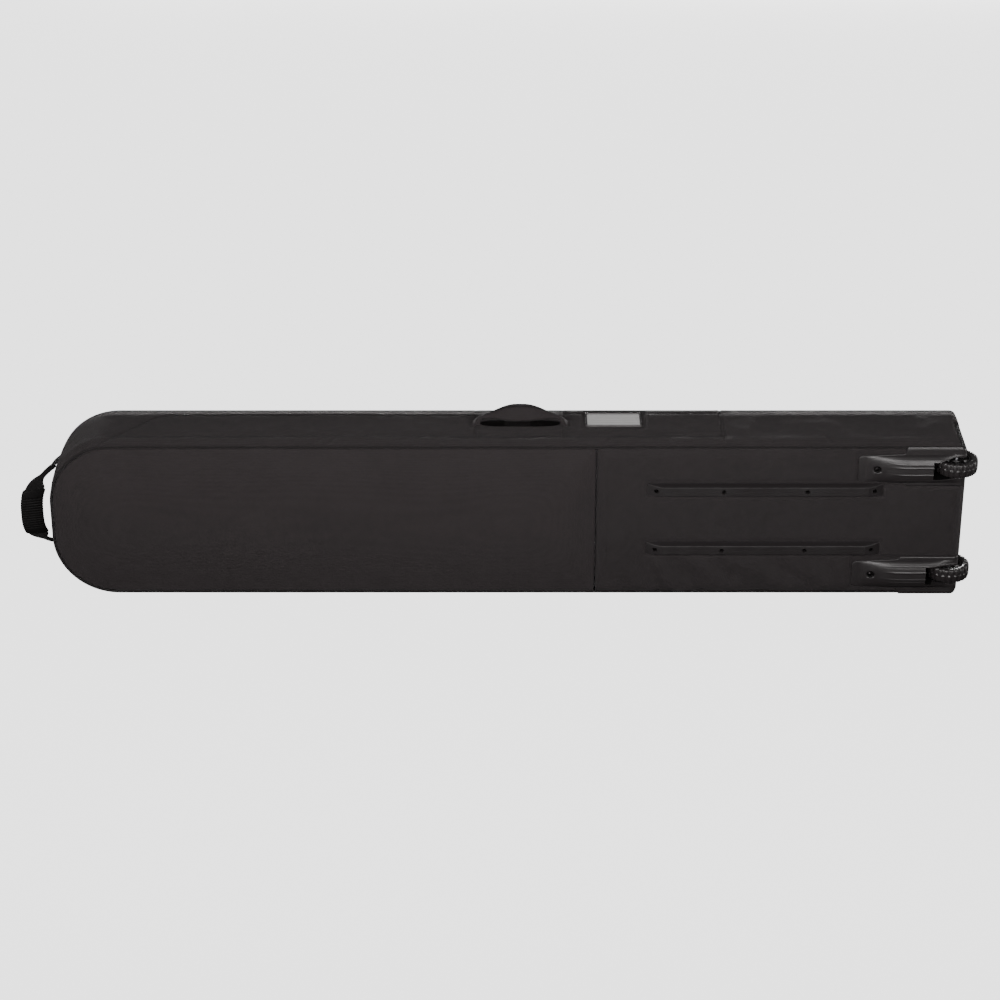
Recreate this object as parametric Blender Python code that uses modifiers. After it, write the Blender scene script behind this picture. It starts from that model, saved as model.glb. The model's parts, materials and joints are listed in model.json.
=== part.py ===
"""A wheeled snowboard bag, standing on its long side.

The bag's length runs along X with the nose at -X and the wheeled tail at +X. Its wheel side,
the back, faces -Y, and the zipped lid faces +Y. Z is the bag's width, and the lower sidewall
rests on z = 0. The origin is the middle of the footprint. Everything is in metres.
"""

import math

import bmesh
import bpy
from mathutils import Matrix, Vector

# The shell, without its wheels and handles
SHELL_LENGTH = 1.778
SHELL_WIDTH = 0.322
SHELL_DEPTH = 0.170
NOSE_RADIUS = 0.125
TAIL_RADIUS = 0.013
TAIL_PLATE = 0.0025  # the moulded plate that wraps the tail
TAIL_PLATE_DEPTH = 0.112  # how far round from the back face it reaches
SEAM_FROM_TAIL = 0.713  # where the plain back panel meets the wheeled base panel
SKIN = 0.003
FOAM = 0.008
BOARD = 0.003
PIPING_RADIUS = 0.0022
PANEL_INSET = 0.005  # the back panels stop short of the edge, where the piping runs
GAP = 0.0003  # between pieces that touch

# What stands out of the shell
HANDLE_STANDOFF = 0.0688
WHEEL_OVERHANG = 0.025
WHEEL_PROUD = 0.020
SLIDER_PROUD = 0.0078

# The shell's faces. The origin is centred on the whole bag, so the shell sits a little off it.
NOSE_X = -SHELL_LENGTH / 2 + (HANDLE_STANDOFF - WHEEL_OVERHANG) / 2
TAIL_X = NOSE_X + SHELL_LENGTH
BACK_Y = -SHELL_DEPTH / 2 + (WHEEL_PROUD - SLIDER_PROUD) / 2
FRONT_Y = BACK_Y + SHELL_DEPTH
TOP_Z = SHELL_WIDTH
MID_Z = SHELL_WIDTH / 2
MID_Y = (BACK_Y + FRONT_Y) / 2
SEAM_X = TAIL_X - SEAM_FROM_TAIL

# Lid and zip, on the front face
HINGE_Z = TOP_Z - 0.045  # the lid's fold
ZIP_INSET = 0.030  # from the shell's outline to the zip
ZIP_TAIL_CORNER = 0.070  # the zip's tail corner turns about a point this far in from both faces
ZIP_HALF_WIDTH = 0.005
ZIP_THICKNESS = 0.002
ZIP_RECESS = 0.0005
SLIDER_XS = {"nose": 0.034, "tail": 0.054}
SLIDER_LENGTH = 0.015
SLIDER_WIDTH = 0.011
SLIDER_BODY = 0.0036  # how far the slider's body stands off the face
PULLER_LENGTH = 0.017
PIN_RADIUS = 0.0008
PIN_STANDOFF = 0.0058
KNUCKLE_RADIUS = 0.0019

# Wheels and their housings
WHEEL_RADIUS = 0.042
WHEEL_WIDTH = 0.029
TREAD = 0.0028
WHEEL_X = TAIL_X + WHEEL_OVERHANG - WHEEL_RADIUS
WHEEL_Y = BACK_Y - WHEEL_PROUD + WHEEL_RADIUS
WHEEL_EDGE = 0.046  # from the wheel's middle plane to the shell's long edge
WHEEL_HEIGHTS = {"upper": TOP_Z - WHEEL_EDGE, "lower": WHEEL_EDGE}
HUB_RADIUS = 0.0262
BEARING_RADIUS = 0.011
BEARING_WIDTH = 0.006
AXLE_RADIUS = 0.004
WELL_RADIUS = 0.0485
WELL_HALF_WIDTH = 0.0185
WELL_WALL = 0.003
HOUSING_LENGTH = 0.2095
HOUSING_HALF_WIDTH = 0.0295
HOUSING_PLATE = 0.003
FLANGE_LENGTH = 0.118
NOTCH_CLEARANCE = 0.001

# Skid rails
RAIL_LENGTH = 0.456
RAIL_BASE = 0.027
RAIL_FACE = 0.019
RAIL_HEIGHT = 0.014
RAIL_RAMP = 0.028
RAIL_X = TAIL_X - 0.387
RAIL_SPACING = 0.128
RAIL_MIDDLE = MID_Z + 0.0055
RAIL_HEIGHTS = {"upper": RAIL_MIDDLE + RAIL_SPACING / 2, "lower": RAIL_MIDDLE - RAIL_SPACING / 2}
RAIL_SCREWS = (-0.2115, -0.081, 0.081, 0.2115)
SCREW_HEAD_RADIUS = 0.004
SCREW_RADIUS = 0.002
SCREW_SEAT = 0.004  # how far the underside of a screw's head stands off the back face

# Handles and card pocket
SIDE_HANDLE_X = NOSE_X + 0.916
SIDE_HANDLE_Y = BACK_Y + 0.104
SIDE_HANDLE_HALF_SPAN = 0.082
SIDE_HANDLE_AXIS_Z = TOP_Z + 0.0085
SIDE_HANDLE_WIDTH = 0.033
SIDE_HANDLE_THICKNESS = 0.007
SIDE_HANDLE_RISE = 0.0150  # from the swing axis to the middle of the grip
SIDE_HANDLE_LEAN = 62  # degrees that the grip's face is turned up from flat
ANCHOR_HALF_WIDTH = 0.014
ANCHOR_BLOCK = 0.012  # the length of the block at each end of the side handle's anchor strip
END_HANDLE_Z = 0.156
END_HANDLE_HALF_SPAN = 0.083
END_HANDLE_AXIS_X = NOSE_X - 0.001
END_HANDLE_RISE = 0.0514
END_HANDLE_LEAN = 75
END_HANDLE_SAG = 0.009  # how much lower than its ends the middle of the loop hangs
END_HANDLE_TURN = math.radians(28)  # the loop rests turned towards the back face
END_STRAP_WIDTH = 0.038
END_STRAP_THICKNESS = 0.0042
END_GRIP_WIDTH = 0.0455
END_GRIP_THICKNESS = 0.0085
END_GRIP_HALF_LENGTH = 0.047
TAB_HALF_WIDTH = 0.017
ROLLED_END = 0.009  # how thick a handle is where it is gathered and sewn
PATCH = 0.0015
ID_X = NOSE_X + 1.099
ID_Y = BACK_Y + 0.118
ID_SIZE = (0.112, 0.061)

MODEL = "snowboard_bag"
TOOLS = "cutters"


def clear_scene():
    for thing in list(bpy.data.objects):
        bpy.data.objects.remove(thing, do_unlink=True)


def collection(name):
    found = bpy.data.collections.get(name)
    if not found:
        found = bpy.data.collections.new(name)
        bpy.context.scene.collection.children.link(found)
    return found


def material(name, color, roughness, metallic=0.0):
    made = bpy.data.materials.new(name)
    made.use_nodes = True
    shader = made.node_tree.nodes["Principled BSDF"]
    shader.inputs["Base Color"].default_value = (*color, 1.0)
    shader.inputs["Roughness"].default_value = roughness
    shader.inputs["Metallic"].default_value = metallic
    return made


def make_materials():
    return {
        "shell_fabric": material("shell_fabric", (0.040, 0.034, 0.036), 0.85),
        "foam": material("foam", (0.12, 0.12, 0.125), 0.95),
        "webbing": material("webbing", (0.012, 0.011, 0.011), 0.7),
        "piping": material("piping", (0.020, 0.018, 0.019), 0.6),
        "zip": material("zip", (0.015, 0.015, 0.016), 0.45),
        "zip_metal": material("zip_metal", (0.05, 0.05, 0.052), 0.35, 0.9),
        "moulded_plastic": material("moulded_plastic", (0.030, 0.027, 0.028), 0.4),
        "board": material("board", (0.02, 0.02, 0.02), 0.5),
        "tyre": material("tyre", (0.035, 0.033, 0.034), 0.45),
        "steel": material("steel", (0.45, 0.45, 0.46), 0.3, 1.0),
        "card": material("card", (0.55, 0.55, 0.54), 0.8),
        "clear_vinyl": material("clear_vinyl", (0.75, 0.76, 0.76), 0.15),
        "grip_rubber": material("grip_rubber", (0.008, 0.007, 0.007), 0.6),
    }


def add_object(name, mesh, group=MODEL):
    made = bpy.data.objects.new(name, mesh)
    collection(group).objects.link(made)
    return made


def set_material(piece, name):
    piece.data.materials.clear()
    piece.data.materials.append(MATERIALS[name])
    return piece


def round_off(mesh):
    """Shades the mesh smooth, except across its real edges."""
    mesh.shade_smooth()
    mesh.set_sharp_from_angle(angle=math.radians(35))


def evaluated_mesh(piece):
    """The piece's mesh with its modifiers applied, in world space, its loose caps welded."""
    bpy.context.view_layer.update()
    graph = bpy.context.evaluated_depsgraph_get()
    mesh = bpy.data.meshes.new_from_object(piece.evaluated_get(graph))
    mesh.transform(piece.matrix_world)
    shape = bmesh.new()
    shape.from_mesh(mesh)
    bmesh.ops.remove_doubles(shape, verts=shape.verts, dist=1e-6)
    shape.to_mesh(mesh)
    shape.free()
    return mesh


def as_mesh(piece):
    """Replaces a curve, or a mesh with modifiers, by its plain mesh."""
    name, group = piece.name, piece.users_collection[0].name
    mesh = evaluated_mesh(piece)
    round_off(mesh)
    bpy.data.objects.remove(piece, do_unlink=True)
    return add_object(name, mesh, group)


def arc(x, z, radius, start, end, steps=8):
    """Points on an arc about (x, z), from start to end degrees."""
    angles = [math.radians(start + (end - start) * i / steps) for i in range(steps + 1)]
    return [(x + radius * math.cos(a), z + radius * math.sin(a)) for a in angles]


def rounded_rectangle(x0, x1, z0, z1, radii, steps=8):
    """An outline whose radii are for the corners low left, low right, high right and high left."""
    corners = ((x0, z0, 1, 1, 180), (x1, z0, -1, 1, 270), (x1, z1, -1, -1, 0), (x0, z1, 1, -1, 90))
    points = []
    for (x, z, inward_x, inward_z, start), radius in zip(corners, radii):
        if radius:
            points += arc(x + inward_x * radius, z + inward_z * radius, radius, start, start + 90, steps)
        else:
            points.append((x, z))
    return points


def circle(x, z, radius, steps=12):
    return arc(x, z, radius, 0, 360 - 360 / steps, steps - 1)


def flat_piece(name, outline, low, high, finish, holes=(), group=MODEL, axis="Y"):
    """A plate with this outline and these holes, from low to high along the axis.

    Its points are (x, z) for a plate that faces along Y, (x, y) along Z and (y, z) along X.
    """
    curve = bpy.data.curves.new(name, "CURVE")
    curve.dimensions = "2D"
    curve.fill_mode = "BOTH"
    curve.extrude = (high - low) / 2
    for points in (outline, *holes):
        spline = curve.splines.new("POLY")
        spline.points.add(len(points) - 1)
        for point, (u, v) in zip(spline.points, points):
            point.co = (u, v, 0, 1)
        spline.use_cyclic_u = True
    drawn = add_object(name, curve, group)
    middle = (low + high) / 2
    if axis == "Y":
        drawn.location.y = middle
        drawn.rotation_euler = (math.radians(90), 0, 0)
    elif axis == "X":
        drawn.location.x = middle
        drawn.rotation_euler = (math.radians(90), 0, math.radians(90))
    else:
        drawn.location.z = middle
    return set_material(as_mesh(drawn), finish)


def box(name, low, high, finish, bevel=0.0, group=MODEL):
    """A block between two corners, with rounded edges where bevel is given."""
    low, high = Vector(low), Vector(high)
    mesh = bpy.data.meshes.new(name)
    shape = bmesh.new()
    bmesh.ops.create_cube(shape, size=1.0)
    bmesh.ops.scale(shape, vec=high - low, verts=shape.verts)
    shape.to_mesh(mesh)
    shape.free()
    made = add_object(name, mesh, group)
    made.location = (low + high) / 2
    if bevel:
        rounding = made.modifiers.new("rounding", "BEVEL")
        rounding.width = bevel
        rounding.segments = 2
    return set_material(made, finish)


def cylinder(name, radius, low, high, finish, axis="Z", segments=32, group=TOOLS):
    """A round bar from the point low to the point high, which differ along one axis only."""
    low, high = Vector(low), Vector(high)
    mesh = bpy.data.meshes.new(name)
    shape = bmesh.new()
    bmesh.ops.create_cone(
        shape,
        cap_ends=True,
        segments=segments,
        radius1=radius,
        radius2=radius,
        depth=(high - low).length,
    )
    shape.to_mesh(mesh)
    shape.free()
    round_off(mesh)
    made = add_object(name, mesh, group)
    made.location = (low + high) / 2
    turns = {"X": (0, math.radians(90), 0), "Y": (math.radians(90), 0, 0), "Z": (0, 0, 0)}
    made.rotation_euler = turns[axis]
    return set_material(made, finish)


def turned(name, profile, finish, closed, steps=24):
    """A shape turned about its own Z axis from (radius, height) points that run down its outer side."""
    mesh = bpy.data.meshes.new(name)
    edges = [(i, i + 1) for i in range(len(profile) - 1)]
    if closed:
        edges.append((len(profile) - 1, 0))
    mesh.from_pydata([(r, 0, z) for r, z in profile], edges, [])
    made = add_object(name, mesh)
    screw = made.modifiers.new("turning", "SCREW")
    screw.steps = screw.render_steps = steps
    screw.use_merge_vertices = True
    screw.merge_threshold = 0.00001
    screw.use_smooth_shade = True
    return set_material(made, finish)


def loft(name, sections, finish, group=MODEL):
    """A skin over sections of the same number of points, closed at both ends."""
    mesh = bpy.data.meshes.new(name)
    shape = bmesh.new()
    rings = [[shape.verts.new(point) for point in section] for section in sections]
    for ring, following in zip(rings, rings[1:]):
        for i in range(len(ring)):
            j = (i + 1) % len(ring)
            shape.faces.new((ring[i], ring[j], following[j], following[i]))
    shape.faces.new(rings[0][::-1])
    shape.faces.new(rings[-1])
    bmesh.ops.recalc_face_normals(shape, faces=shape.faces)
    shape.to_mesh(mesh)
    shape.free()
    round_off(mesh)
    return set_material(add_object(name, mesh, group), finish)


def combine(piece, other, operation):
    """A Boolean modifier on piece. The other object becomes a hidden helper."""
    step = piece.modifiers.new(operation.lower(), "BOOLEAN")
    step.operation = operation
    step.solver = "EXACT"
    step.object = other
    other.hide_render = True
    other.display_type = "WIRE"
    for group in list(other.users_collection):
        group.objects.unlink(other)
    collection(TOOLS).objects.link(other)


def cut(piece, *cutters):
    for cutter in cutters:
        combine(piece, cutter, "DIFFERENCE")


def join(piece, *others):
    for other in others:
        combine(piece, other, "UNION")


def copy_at(piece, name, offset):
    """Another turned object on the same profile, moved by offset."""
    made = add_object(name, piece.data)
    made.matrix_world = Matrix.Translation(offset) @ piece.matrix_world
    turning = made.modifiers.new("turning", "SCREW")
    for key in ("steps", "render_steps", "use_merge_vertices", "merge_threshold", "use_smooth_shade"):
        setattr(turning, key, getattr(piece.modifiers["turning"], key))
    return made


def moved_copy(piece, name, offset):
    """The piece again, moved by offset."""
    mesh = evaluated_mesh(piece)
    mesh.transform(Matrix.Translation(offset))
    return add_object(name, mesh)


def mirrored_in_width(piece, name):
    """The piece's mirror image about the bag's middle plane."""
    mesh = evaluated_mesh(piece)
    mesh.transform(Matrix.Translation((0, 0, SHELL_WIDTH)) @ Matrix.Scale(-1, 4, (0, 0, 1)))
    mesh.flip_normals()
    return add_object(name, mesh)


def pivot(name, place):
    """An empty on a joint's axis, which carries the pieces that move on it."""
    made = bpy.data.objects.new(name, None)
    made.location = place
    collection(MODEL).objects.link(made)
    return made


def hang(carrier, *pieces):
    for piece in pieces:
        piece.parent = carrier
        piece.matrix_parent_inverse = Matrix.Translation(-Vector(carrier.location))


# Shell


def well_notch(name, half_width, height):
    """A cutter around one wheel well, through the base and the tail."""
    return box(
        name,
        (WHEEL_X - WELL_RADIUS - WELL_WALL - NOTCH_CLEARANCE, BACK_Y - 0.02, height - half_width),
        (TAIL_X + 0.02, WHEEL_Y + WELL_RADIUS + WELL_WALL + NOTCH_CLEARANCE, height + half_width),
        "foam",
        group=TOOLS,
    )


def screw_places():
    """(x, z) of each screw in the base, by node name."""
    places = {}
    number = 1
    for height in RAIL_HEIGHTS.values():
        for along in RAIL_SCREWS:
            places[f"rail_screw_{number}"] = (RAIL_X + along, height)
            number += 1
    for side, height in WHEEL_HEIGHTS.items():
        places[f"housing_screw_{side}"] = (TAIL_X - 0.173, height)
    return places


def make_back():
    inset = PANEL_INSET
    nose = NOSE_RADIUS - inset
    outline = rounded_rectangle(
        NOSE_X + inset, SEAM_X - GAP, inset, TOP_Z - inset, (nose, 0, 0, nose), 14
    )
    flat_piece("back_panel", outline, BACK_Y, BACK_Y + SKIN, "shell_fabric")
    near = BACK_Y + SKIN + GAP
    outline = rounded_rectangle(
        NOSE_X + inset, SEAM_X + 0.02 - GAP, inset, TOP_Z - inset, (nose, 0, 0, nose), 14
    )
    flat_piece("back_foam", outline, near, near + FOAM, "foam")


def make_base():
    """The wheeled end's outer cloth, and the stiff sheet behind it that the rails are screwed to."""
    inset = PANEL_INSET
    tail = TAIL_RADIUS - inset
    outline = rounded_rectangle(
        SEAM_X + GAP, TAIL_X - inset, inset, TOP_Z - inset, (0, tail, tail, 0)
    )
    holes = [circle(x, z, SCREW_RADIUS + 0.0006) for x, z in screw_places().values()]
    panel = flat_piece("base_panel", outline, BACK_Y, BACK_Y + SKIN, "shell_fabric", holes)
    half_width = WELL_HALF_WIDTH + WELL_WALL + NOTCH_CLEARANCE
    cut(panel, *[well_notch(f"base_notch_{s}", half_width, z) for s, z in WHEEL_HEIGHTS.items()])

    near = BACK_Y + SKIN + GAP
    inset = TAIL_PLATE + SKIN + 3 * GAP
    tail = TAIL_RADIUS - inset
    outline = rounded_rectangle(
        SEAM_X + 0.02, TAIL_X - inset, inset, TOP_Z - inset, (0, tail, tail, 0)
    )
    holes = [circle(x, z, SCREW_RADIUS + 0.0003) for x, z in screw_places().values()]
    board = flat_piece("base_board", outline, near, near + BOARD, "board", holes)
    half_width = WELL_HALF_WIDTH + WELL_WALL + 0.003
    cut(board, *[well_notch(f"board_notch_{s}", half_width, z) for s, z in WHEEL_HEIGHTS.items()])


def wall_span():
    """The sidewalls' and end walls' extent in Y, between the piping and the front face."""
    return BACK_Y + 2 * PIPING_RADIUS + GAP, FRONT_Y - SKIN - GAP


def make_sidewalls():
    near, far = wall_span()
    x0, x1 = NOSE_X + NOSE_RADIUS + GAP, TAIL_X - TAIL_RADIUS - GAP
    foam_near = BACK_Y + SKIN + FOAM + 2 * GAP
    foam_end = WHEEL_X - WELL_RADIUS - WELL_WALL - 0.002
    for side, outer, inward in (("upper", TOP_Z, -1), ("lower", 0.0, 1)):
        z0, z1 = sorted((outer, outer + inward * SKIN))
        box(f"{side}_sidewall", (x0, near, z0), (x1, far, z1), "shell_fabric")
        foam_outer = outer + inward * (SKIN + GAP)
        z0, z1 = sorted((foam_outer, foam_outer + inward * FOAM))
        box(f"{side}_foam", (x0, foam_near, z0), (foam_end, far, z1), "foam")


def end_band(x, radius, thickness, direction, inset=0.0):
    """The outline of a wall that closes one end, with its two corners; direction is +1 at the tail."""
    centre = x - direction * radius
    outer, inner = [], []
    for band, r in ((outer, radius), (inner, radius - thickness)):
        middle_high, middle_low = TOP_Z - inset - radius, inset + radius
        if direction > 0:
            band += arc(centre, middle_high, r, 90, 0, 8) + arc(centre, middle_low, r, 0, -90, 8)
        else:
            band += arc(centre, middle_high, r, 90, 180, 14) + arc(centre, middle_low, r, 180, 270, 14)
    return outer + inner[::-1]


def make_ends():
    near, far = wall_span()
    flat_piece("nose_wall", end_band(NOSE_X, NOSE_RADIUS, SKIN, -1), near, far, "shell_fabric")
    under = TAIL_PLATE + GAP
    tail = flat_piece(
        "tail_wall",
        end_band(TAIL_X - under, TAIL_RADIUS - under, SKIN, 1, under),
        near,
        far,
        "shell_fabric",
    )
    plate = flat_piece(
        "tail_plate",
        end_band(TAIL_X, TAIL_RADIUS, TAIL_PLATE, 1),
        near,
        BACK_Y + TAIL_PLATE_DEPTH,
        "moulded_plastic",
    )
    half_width = WELL_HALF_WIDTH + WELL_WALL + NOTCH_CLEARANCE
    for piece in (tail, plate):
        cutters = [
            well_notch(f"{piece.name}_notch_{s}", half_width, z) for s, z in WHEEL_HEIGHTS.items()
        ]
        cut(piece, *cutters)


def make_piping():
    """The cord sewn into the seam around the back, from one housing round the nose to the other."""
    r = PIPING_RADIUS
    end_x = TAIL_X - FLANGE_LENGTH - 0.004
    corner = NOSE_RADIUS - r - GAP
    middle_x = NOSE_X + NOSE_RADIUS
    path = [(end_x, TOP_Z - r - GAP)]
    path += arc(middle_x, TOP_Z - NOSE_RADIUS, corner, 90, 180, 16)
    path += arc(middle_x, NOSE_RADIUS, corner, 180, 270, 16)
    path += [(end_x, r + GAP)]
    curve = bpy.data.curves.new("back_piping", "CURVE")
    curve.dimensions = "3D"
    curve.bevel_depth = r
    curve.bevel_resolution = 1
    curve.use_fill_caps = True
    spline = curve.splines.new("POLY")
    spline.points.add(len(path) - 1)
    for point, (x, z) in zip(spline.points, path):
        point.co = (x, BACK_Y + r, z, 1)
    drawn = add_object("back_piping", curve)
    set_material(as_mesh(drawn), "piping")


# Front face and lid


def zip_path(inset, top):
    """Points from the fold's nose end down and round to its tail end, inset from the shell's outline."""
    radius = NOSE_RADIUS - inset
    middle_x = NOSE_X + NOSE_RADIUS
    start = 180 - math.degrees(math.asin((top - (TOP_Z - NOSE_RADIUS)) / radius))
    points = arc(middle_x, TOP_Z - NOSE_RADIUS, radius, start, 180, 8)
    points += arc(middle_x, NOSE_RADIUS, radius, 180, 270, 14)
    corner = ZIP_TAIL_CORNER
    points += arc(TAIL_X - corner, corner, corner - inset, 270, 360, 8)
    points.append((TAIL_X - inset, top))
    return points


def zip_band(outer_inset, inner_inset):
    top = HINGE_Z - GAP
    return zip_path(outer_inset, top) + zip_path(inner_inset, top)[::-1]


def make_front():
    outline = rounded_rectangle(
        NOSE_X, TAIL_X, 0.0, TOP_Z, (NOSE_RADIUS, TAIL_RADIUS, TAIL_RADIUS, NOSE_RADIUS), 14
    )
    window = zip_path(ZIP_INSET - ZIP_HALF_WIDTH - GAP, HINGE_Z + GAP)
    flat_piece("front_rim", outline, FRONT_Y - SKIN, FRONT_Y, "shell_fabric", [window])
    high = FRONT_Y - ZIP_RECESS
    band = zip_band(ZIP_INSET - ZIP_HALF_WIDTH, ZIP_INSET - GAP / 2)
    flat_piece("zip_fixed_half", band, high - ZIP_THICKNESS, high, "zip")


def make_lid(hinge):
    high = FRONT_Y - ZIP_RECESS
    band = zip_band(ZIP_INSET + GAP / 2, ZIP_INSET + ZIP_HALF_WIDTH)
    moving_half = flat_piece("zip_lid_half", band, high - ZIP_THICKNESS, high, "zip")
    inset = ZIP_INSET + ZIP_HALF_WIDTH + GAP
    panel = flat_piece(
        "lid_panel", zip_path(inset, HINGE_Z - GAP), FRONT_Y - SKIN, FRONT_Y, "shell_fabric"
    )
    far = FRONT_Y - SKIN - GAP
    foam = flat_piece(
        "lid_foam", zip_path(inset + 0.005, HINGE_Z - 0.002), far - FOAM, far, "foam"
    )
    hang(hinge, moving_half, panel, foam)


def make_slider(side, lid_hinge):
    """A slider on the zip's long run, with a puller that turns on its pin."""
    x, z = SLIDER_XS[side], ZIP_INSET
    pin_y = FRONT_Y + PIN_STANDOFF
    place = Vector((x, FRONT_Y, z))
    half = SLIDER_WIDTH / 2
    body = box(
        f"zip_slider_{side}",
        (x - SLIDER_LENGTH / 2, FRONT_Y + GAP, z - half),
        (x + SLIDER_LENGTH / 2, FRONT_Y + SLIDER_BODY, z + half),
        "zip_metal",
    )
    for number, (low, high) in enumerate(((-0.0046, -0.0033), (0.0033, 0.0046))):
        ear = box(
            f"slider_ear_{side}_{number}",
            (x - 0.0022, FRONT_Y + SLIDER_BODY - 0.001, z + low),
            (x + 0.0022, FRONT_Y + SLIDER_PROUD, z + high),
            "zip_metal",
            group=TOOLS,
        )
        join(body, ear)
    ends = [(x, pin_y, z + offset) for offset in (-0.004, 0.004)]
    pin = cylinder(f"slider_pin_{side}", PIN_RADIUS, *ends, "zip_metal", segments=16)
    join(body, pin)

    away = -1 if side == "nose" else 1
    knuckle = circle(x, pin_y, KNUCKLE_RADIUS, 20)
    hole = circle(x, pin_y, PIN_RADIUS + GAP, 16)
    pull = flat_piece(
        f"zip_puller_{side}", knuckle, z - 0.003, z + 0.003, "zip_metal", [hole], axis="Z"
    )
    x0, x1 = sorted((x + away * 0.0015, x + away * PULLER_LENGTH))
    tab = box(
        f"puller_tab_{side}",
        (x0, pin_y - 0.0008, z - 0.003),
        (x1, pin_y + 0.0008, z + 0.003),
        "zip_metal",
        group=TOOLS,
    )
    join(pull, tab)
    carrier = pivot(f"zip_slider_{side}_run", place)
    turn = pivot(f"zip_puller_{side}_pin", (x, pin_y, z))
    hang(carrier, body)
    hang(turn, pull)
    return carrier, turn


# Wheels and housings


def make_wheel(side):
    height = WHEEL_HEIGHTS[side]
    spin = pivot(f"wheel_{side}_axis", (WHEEL_X, WHEEL_Y, height))
    lugs = 22
    outline = []
    for i in range(lugs):
        start = 360 / lugs * i
        for angle, radius in (
            (0.0, WHEEL_RADIUS),
            (0.32, WHEEL_RADIUS),
            (0.62, WHEEL_RADIUS),
            (0.68, WHEEL_RADIUS - TREAD),
            (0.94, WHEEL_RADIUS - TREAD),
        ):
            a = math.radians(start + angle * 360 / lugs)
            outline.append((WHEEL_X + radius * math.cos(a), WHEEL_Y + radius * math.sin(a)))
    bore = circle(WHEEL_X, WHEEL_Y, HUB_RADIUS + GAP, 32)
    low, high = height - WHEEL_WIDTH / 2, height + WHEEL_WIDTH / 2
    tyre = flat_piece(f"tyre_{side}", outline, low, high, "tyre", [bore], axis="Z")

    seat = BEARING_RADIUS + 0.0001
    inner, face = 0.0049, 0.011
    hub = turned(
        f"hub_{side}",
        [
            (HUB_RADIUS, face),
            (HUB_RADIUS, -face),
            (0.0240, -face),
            (0.0235, -0.006),
            (0.0140, -0.006),
            (0.0135, -face),
            (seat, -face),
            (seat, -inner),
            (0.0080, -inner),
            (0.0080, inner),
            (seat, inner),
            (seat, face),
            (0.0135, face),
            (0.0140, 0.006),
            (0.0235, 0.006),
            (0.0240, face),
        ],
        "moulded_plastic",
        True,
        32,
    )
    hub.location = (WHEEL_X, WHEEL_Y, height)
    bore_radius = AXLE_RADIUS + 0.00005
    half = BEARING_WIDTH / 2
    pieces = [tyre, hub]
    first = turned(
        f"bearing_{side}_1",
        [(BEARING_RADIUS, half), (BEARING_RADIUS, -half), (bore_radius, -half), (bore_radius, half)],
        "steel",
        True,
    )
    first.location = (WHEEL_X, WHEEL_Y, height + inner + 0.0001 + half)
    bpy.context.view_layer.update()
    second = copy_at(first, f"bearing_{side}_2", (0, 0, -2 * (inner + 0.0001 + half)))
    spacer = turned(
        f"spacer_{side}",
        [(0.0065, 0.0047), (0.0065, -0.0047), (0.0044, -0.0047), (0.0044, 0.0047)],
        "steel",
        True,
    )
    spacer.location = (WHEEL_X, WHEEL_Y, height)
    pieces += [first, second, spacer]
    hang(spin, *pieces)
    reach = WELL_HALF_WIDTH + WELL_WALL - 0.0002
    cylinder(
        f"axle_{side}",
        AXLE_RADIUS,
        (WHEEL_X, WHEEL_Y, height - reach),
        (WHEEL_X, WHEEL_Y, height + reach),
        "steel",
        group=MODEL,
    )


HOOD = (  # along X from the tail face, and the hood's height over the back face there
    (-0.2060, 0.0042),
    (-0.1990, 0.0062),
    (-0.1860, 0.0082),
    (-0.1500, 0.0108),
    (-0.1150, 0.0140),
    (-0.0850, 0.0162),
    (-0.0640, 0.0165),
    (-0.0450, 0.0142),
    (-0.0280, 0.0100),
    (-0.0140, 0.0064),
    (-0.0020, 0.0042),
)


def hood_section(offset, rise, height):
    """One section across a housing's hood: flat underneath, sides leaning in to a rounded crown."""
    base = HOUSING_HALF_WIDTH - 0.001
    y0 = BACK_Y - GAP - 0.0005
    x = TAIL_X + offset
    shape = (
        (-1.0, 0.0),
        (-0.97, 0.30),
        (-0.90, 0.62),
        (-0.78, 0.86),
        (-0.55, 0.97),
        (0.0, 1.0),
        (0.55, 0.97),
        (0.78, 0.86),
        (0.90, 0.62),
        (0.97, 0.30),
        (1.0, 0.0),
    )
    return [(x, y0 - part * (rise - GAP - 0.0005), height + across * base) for across, part in shape]


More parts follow.
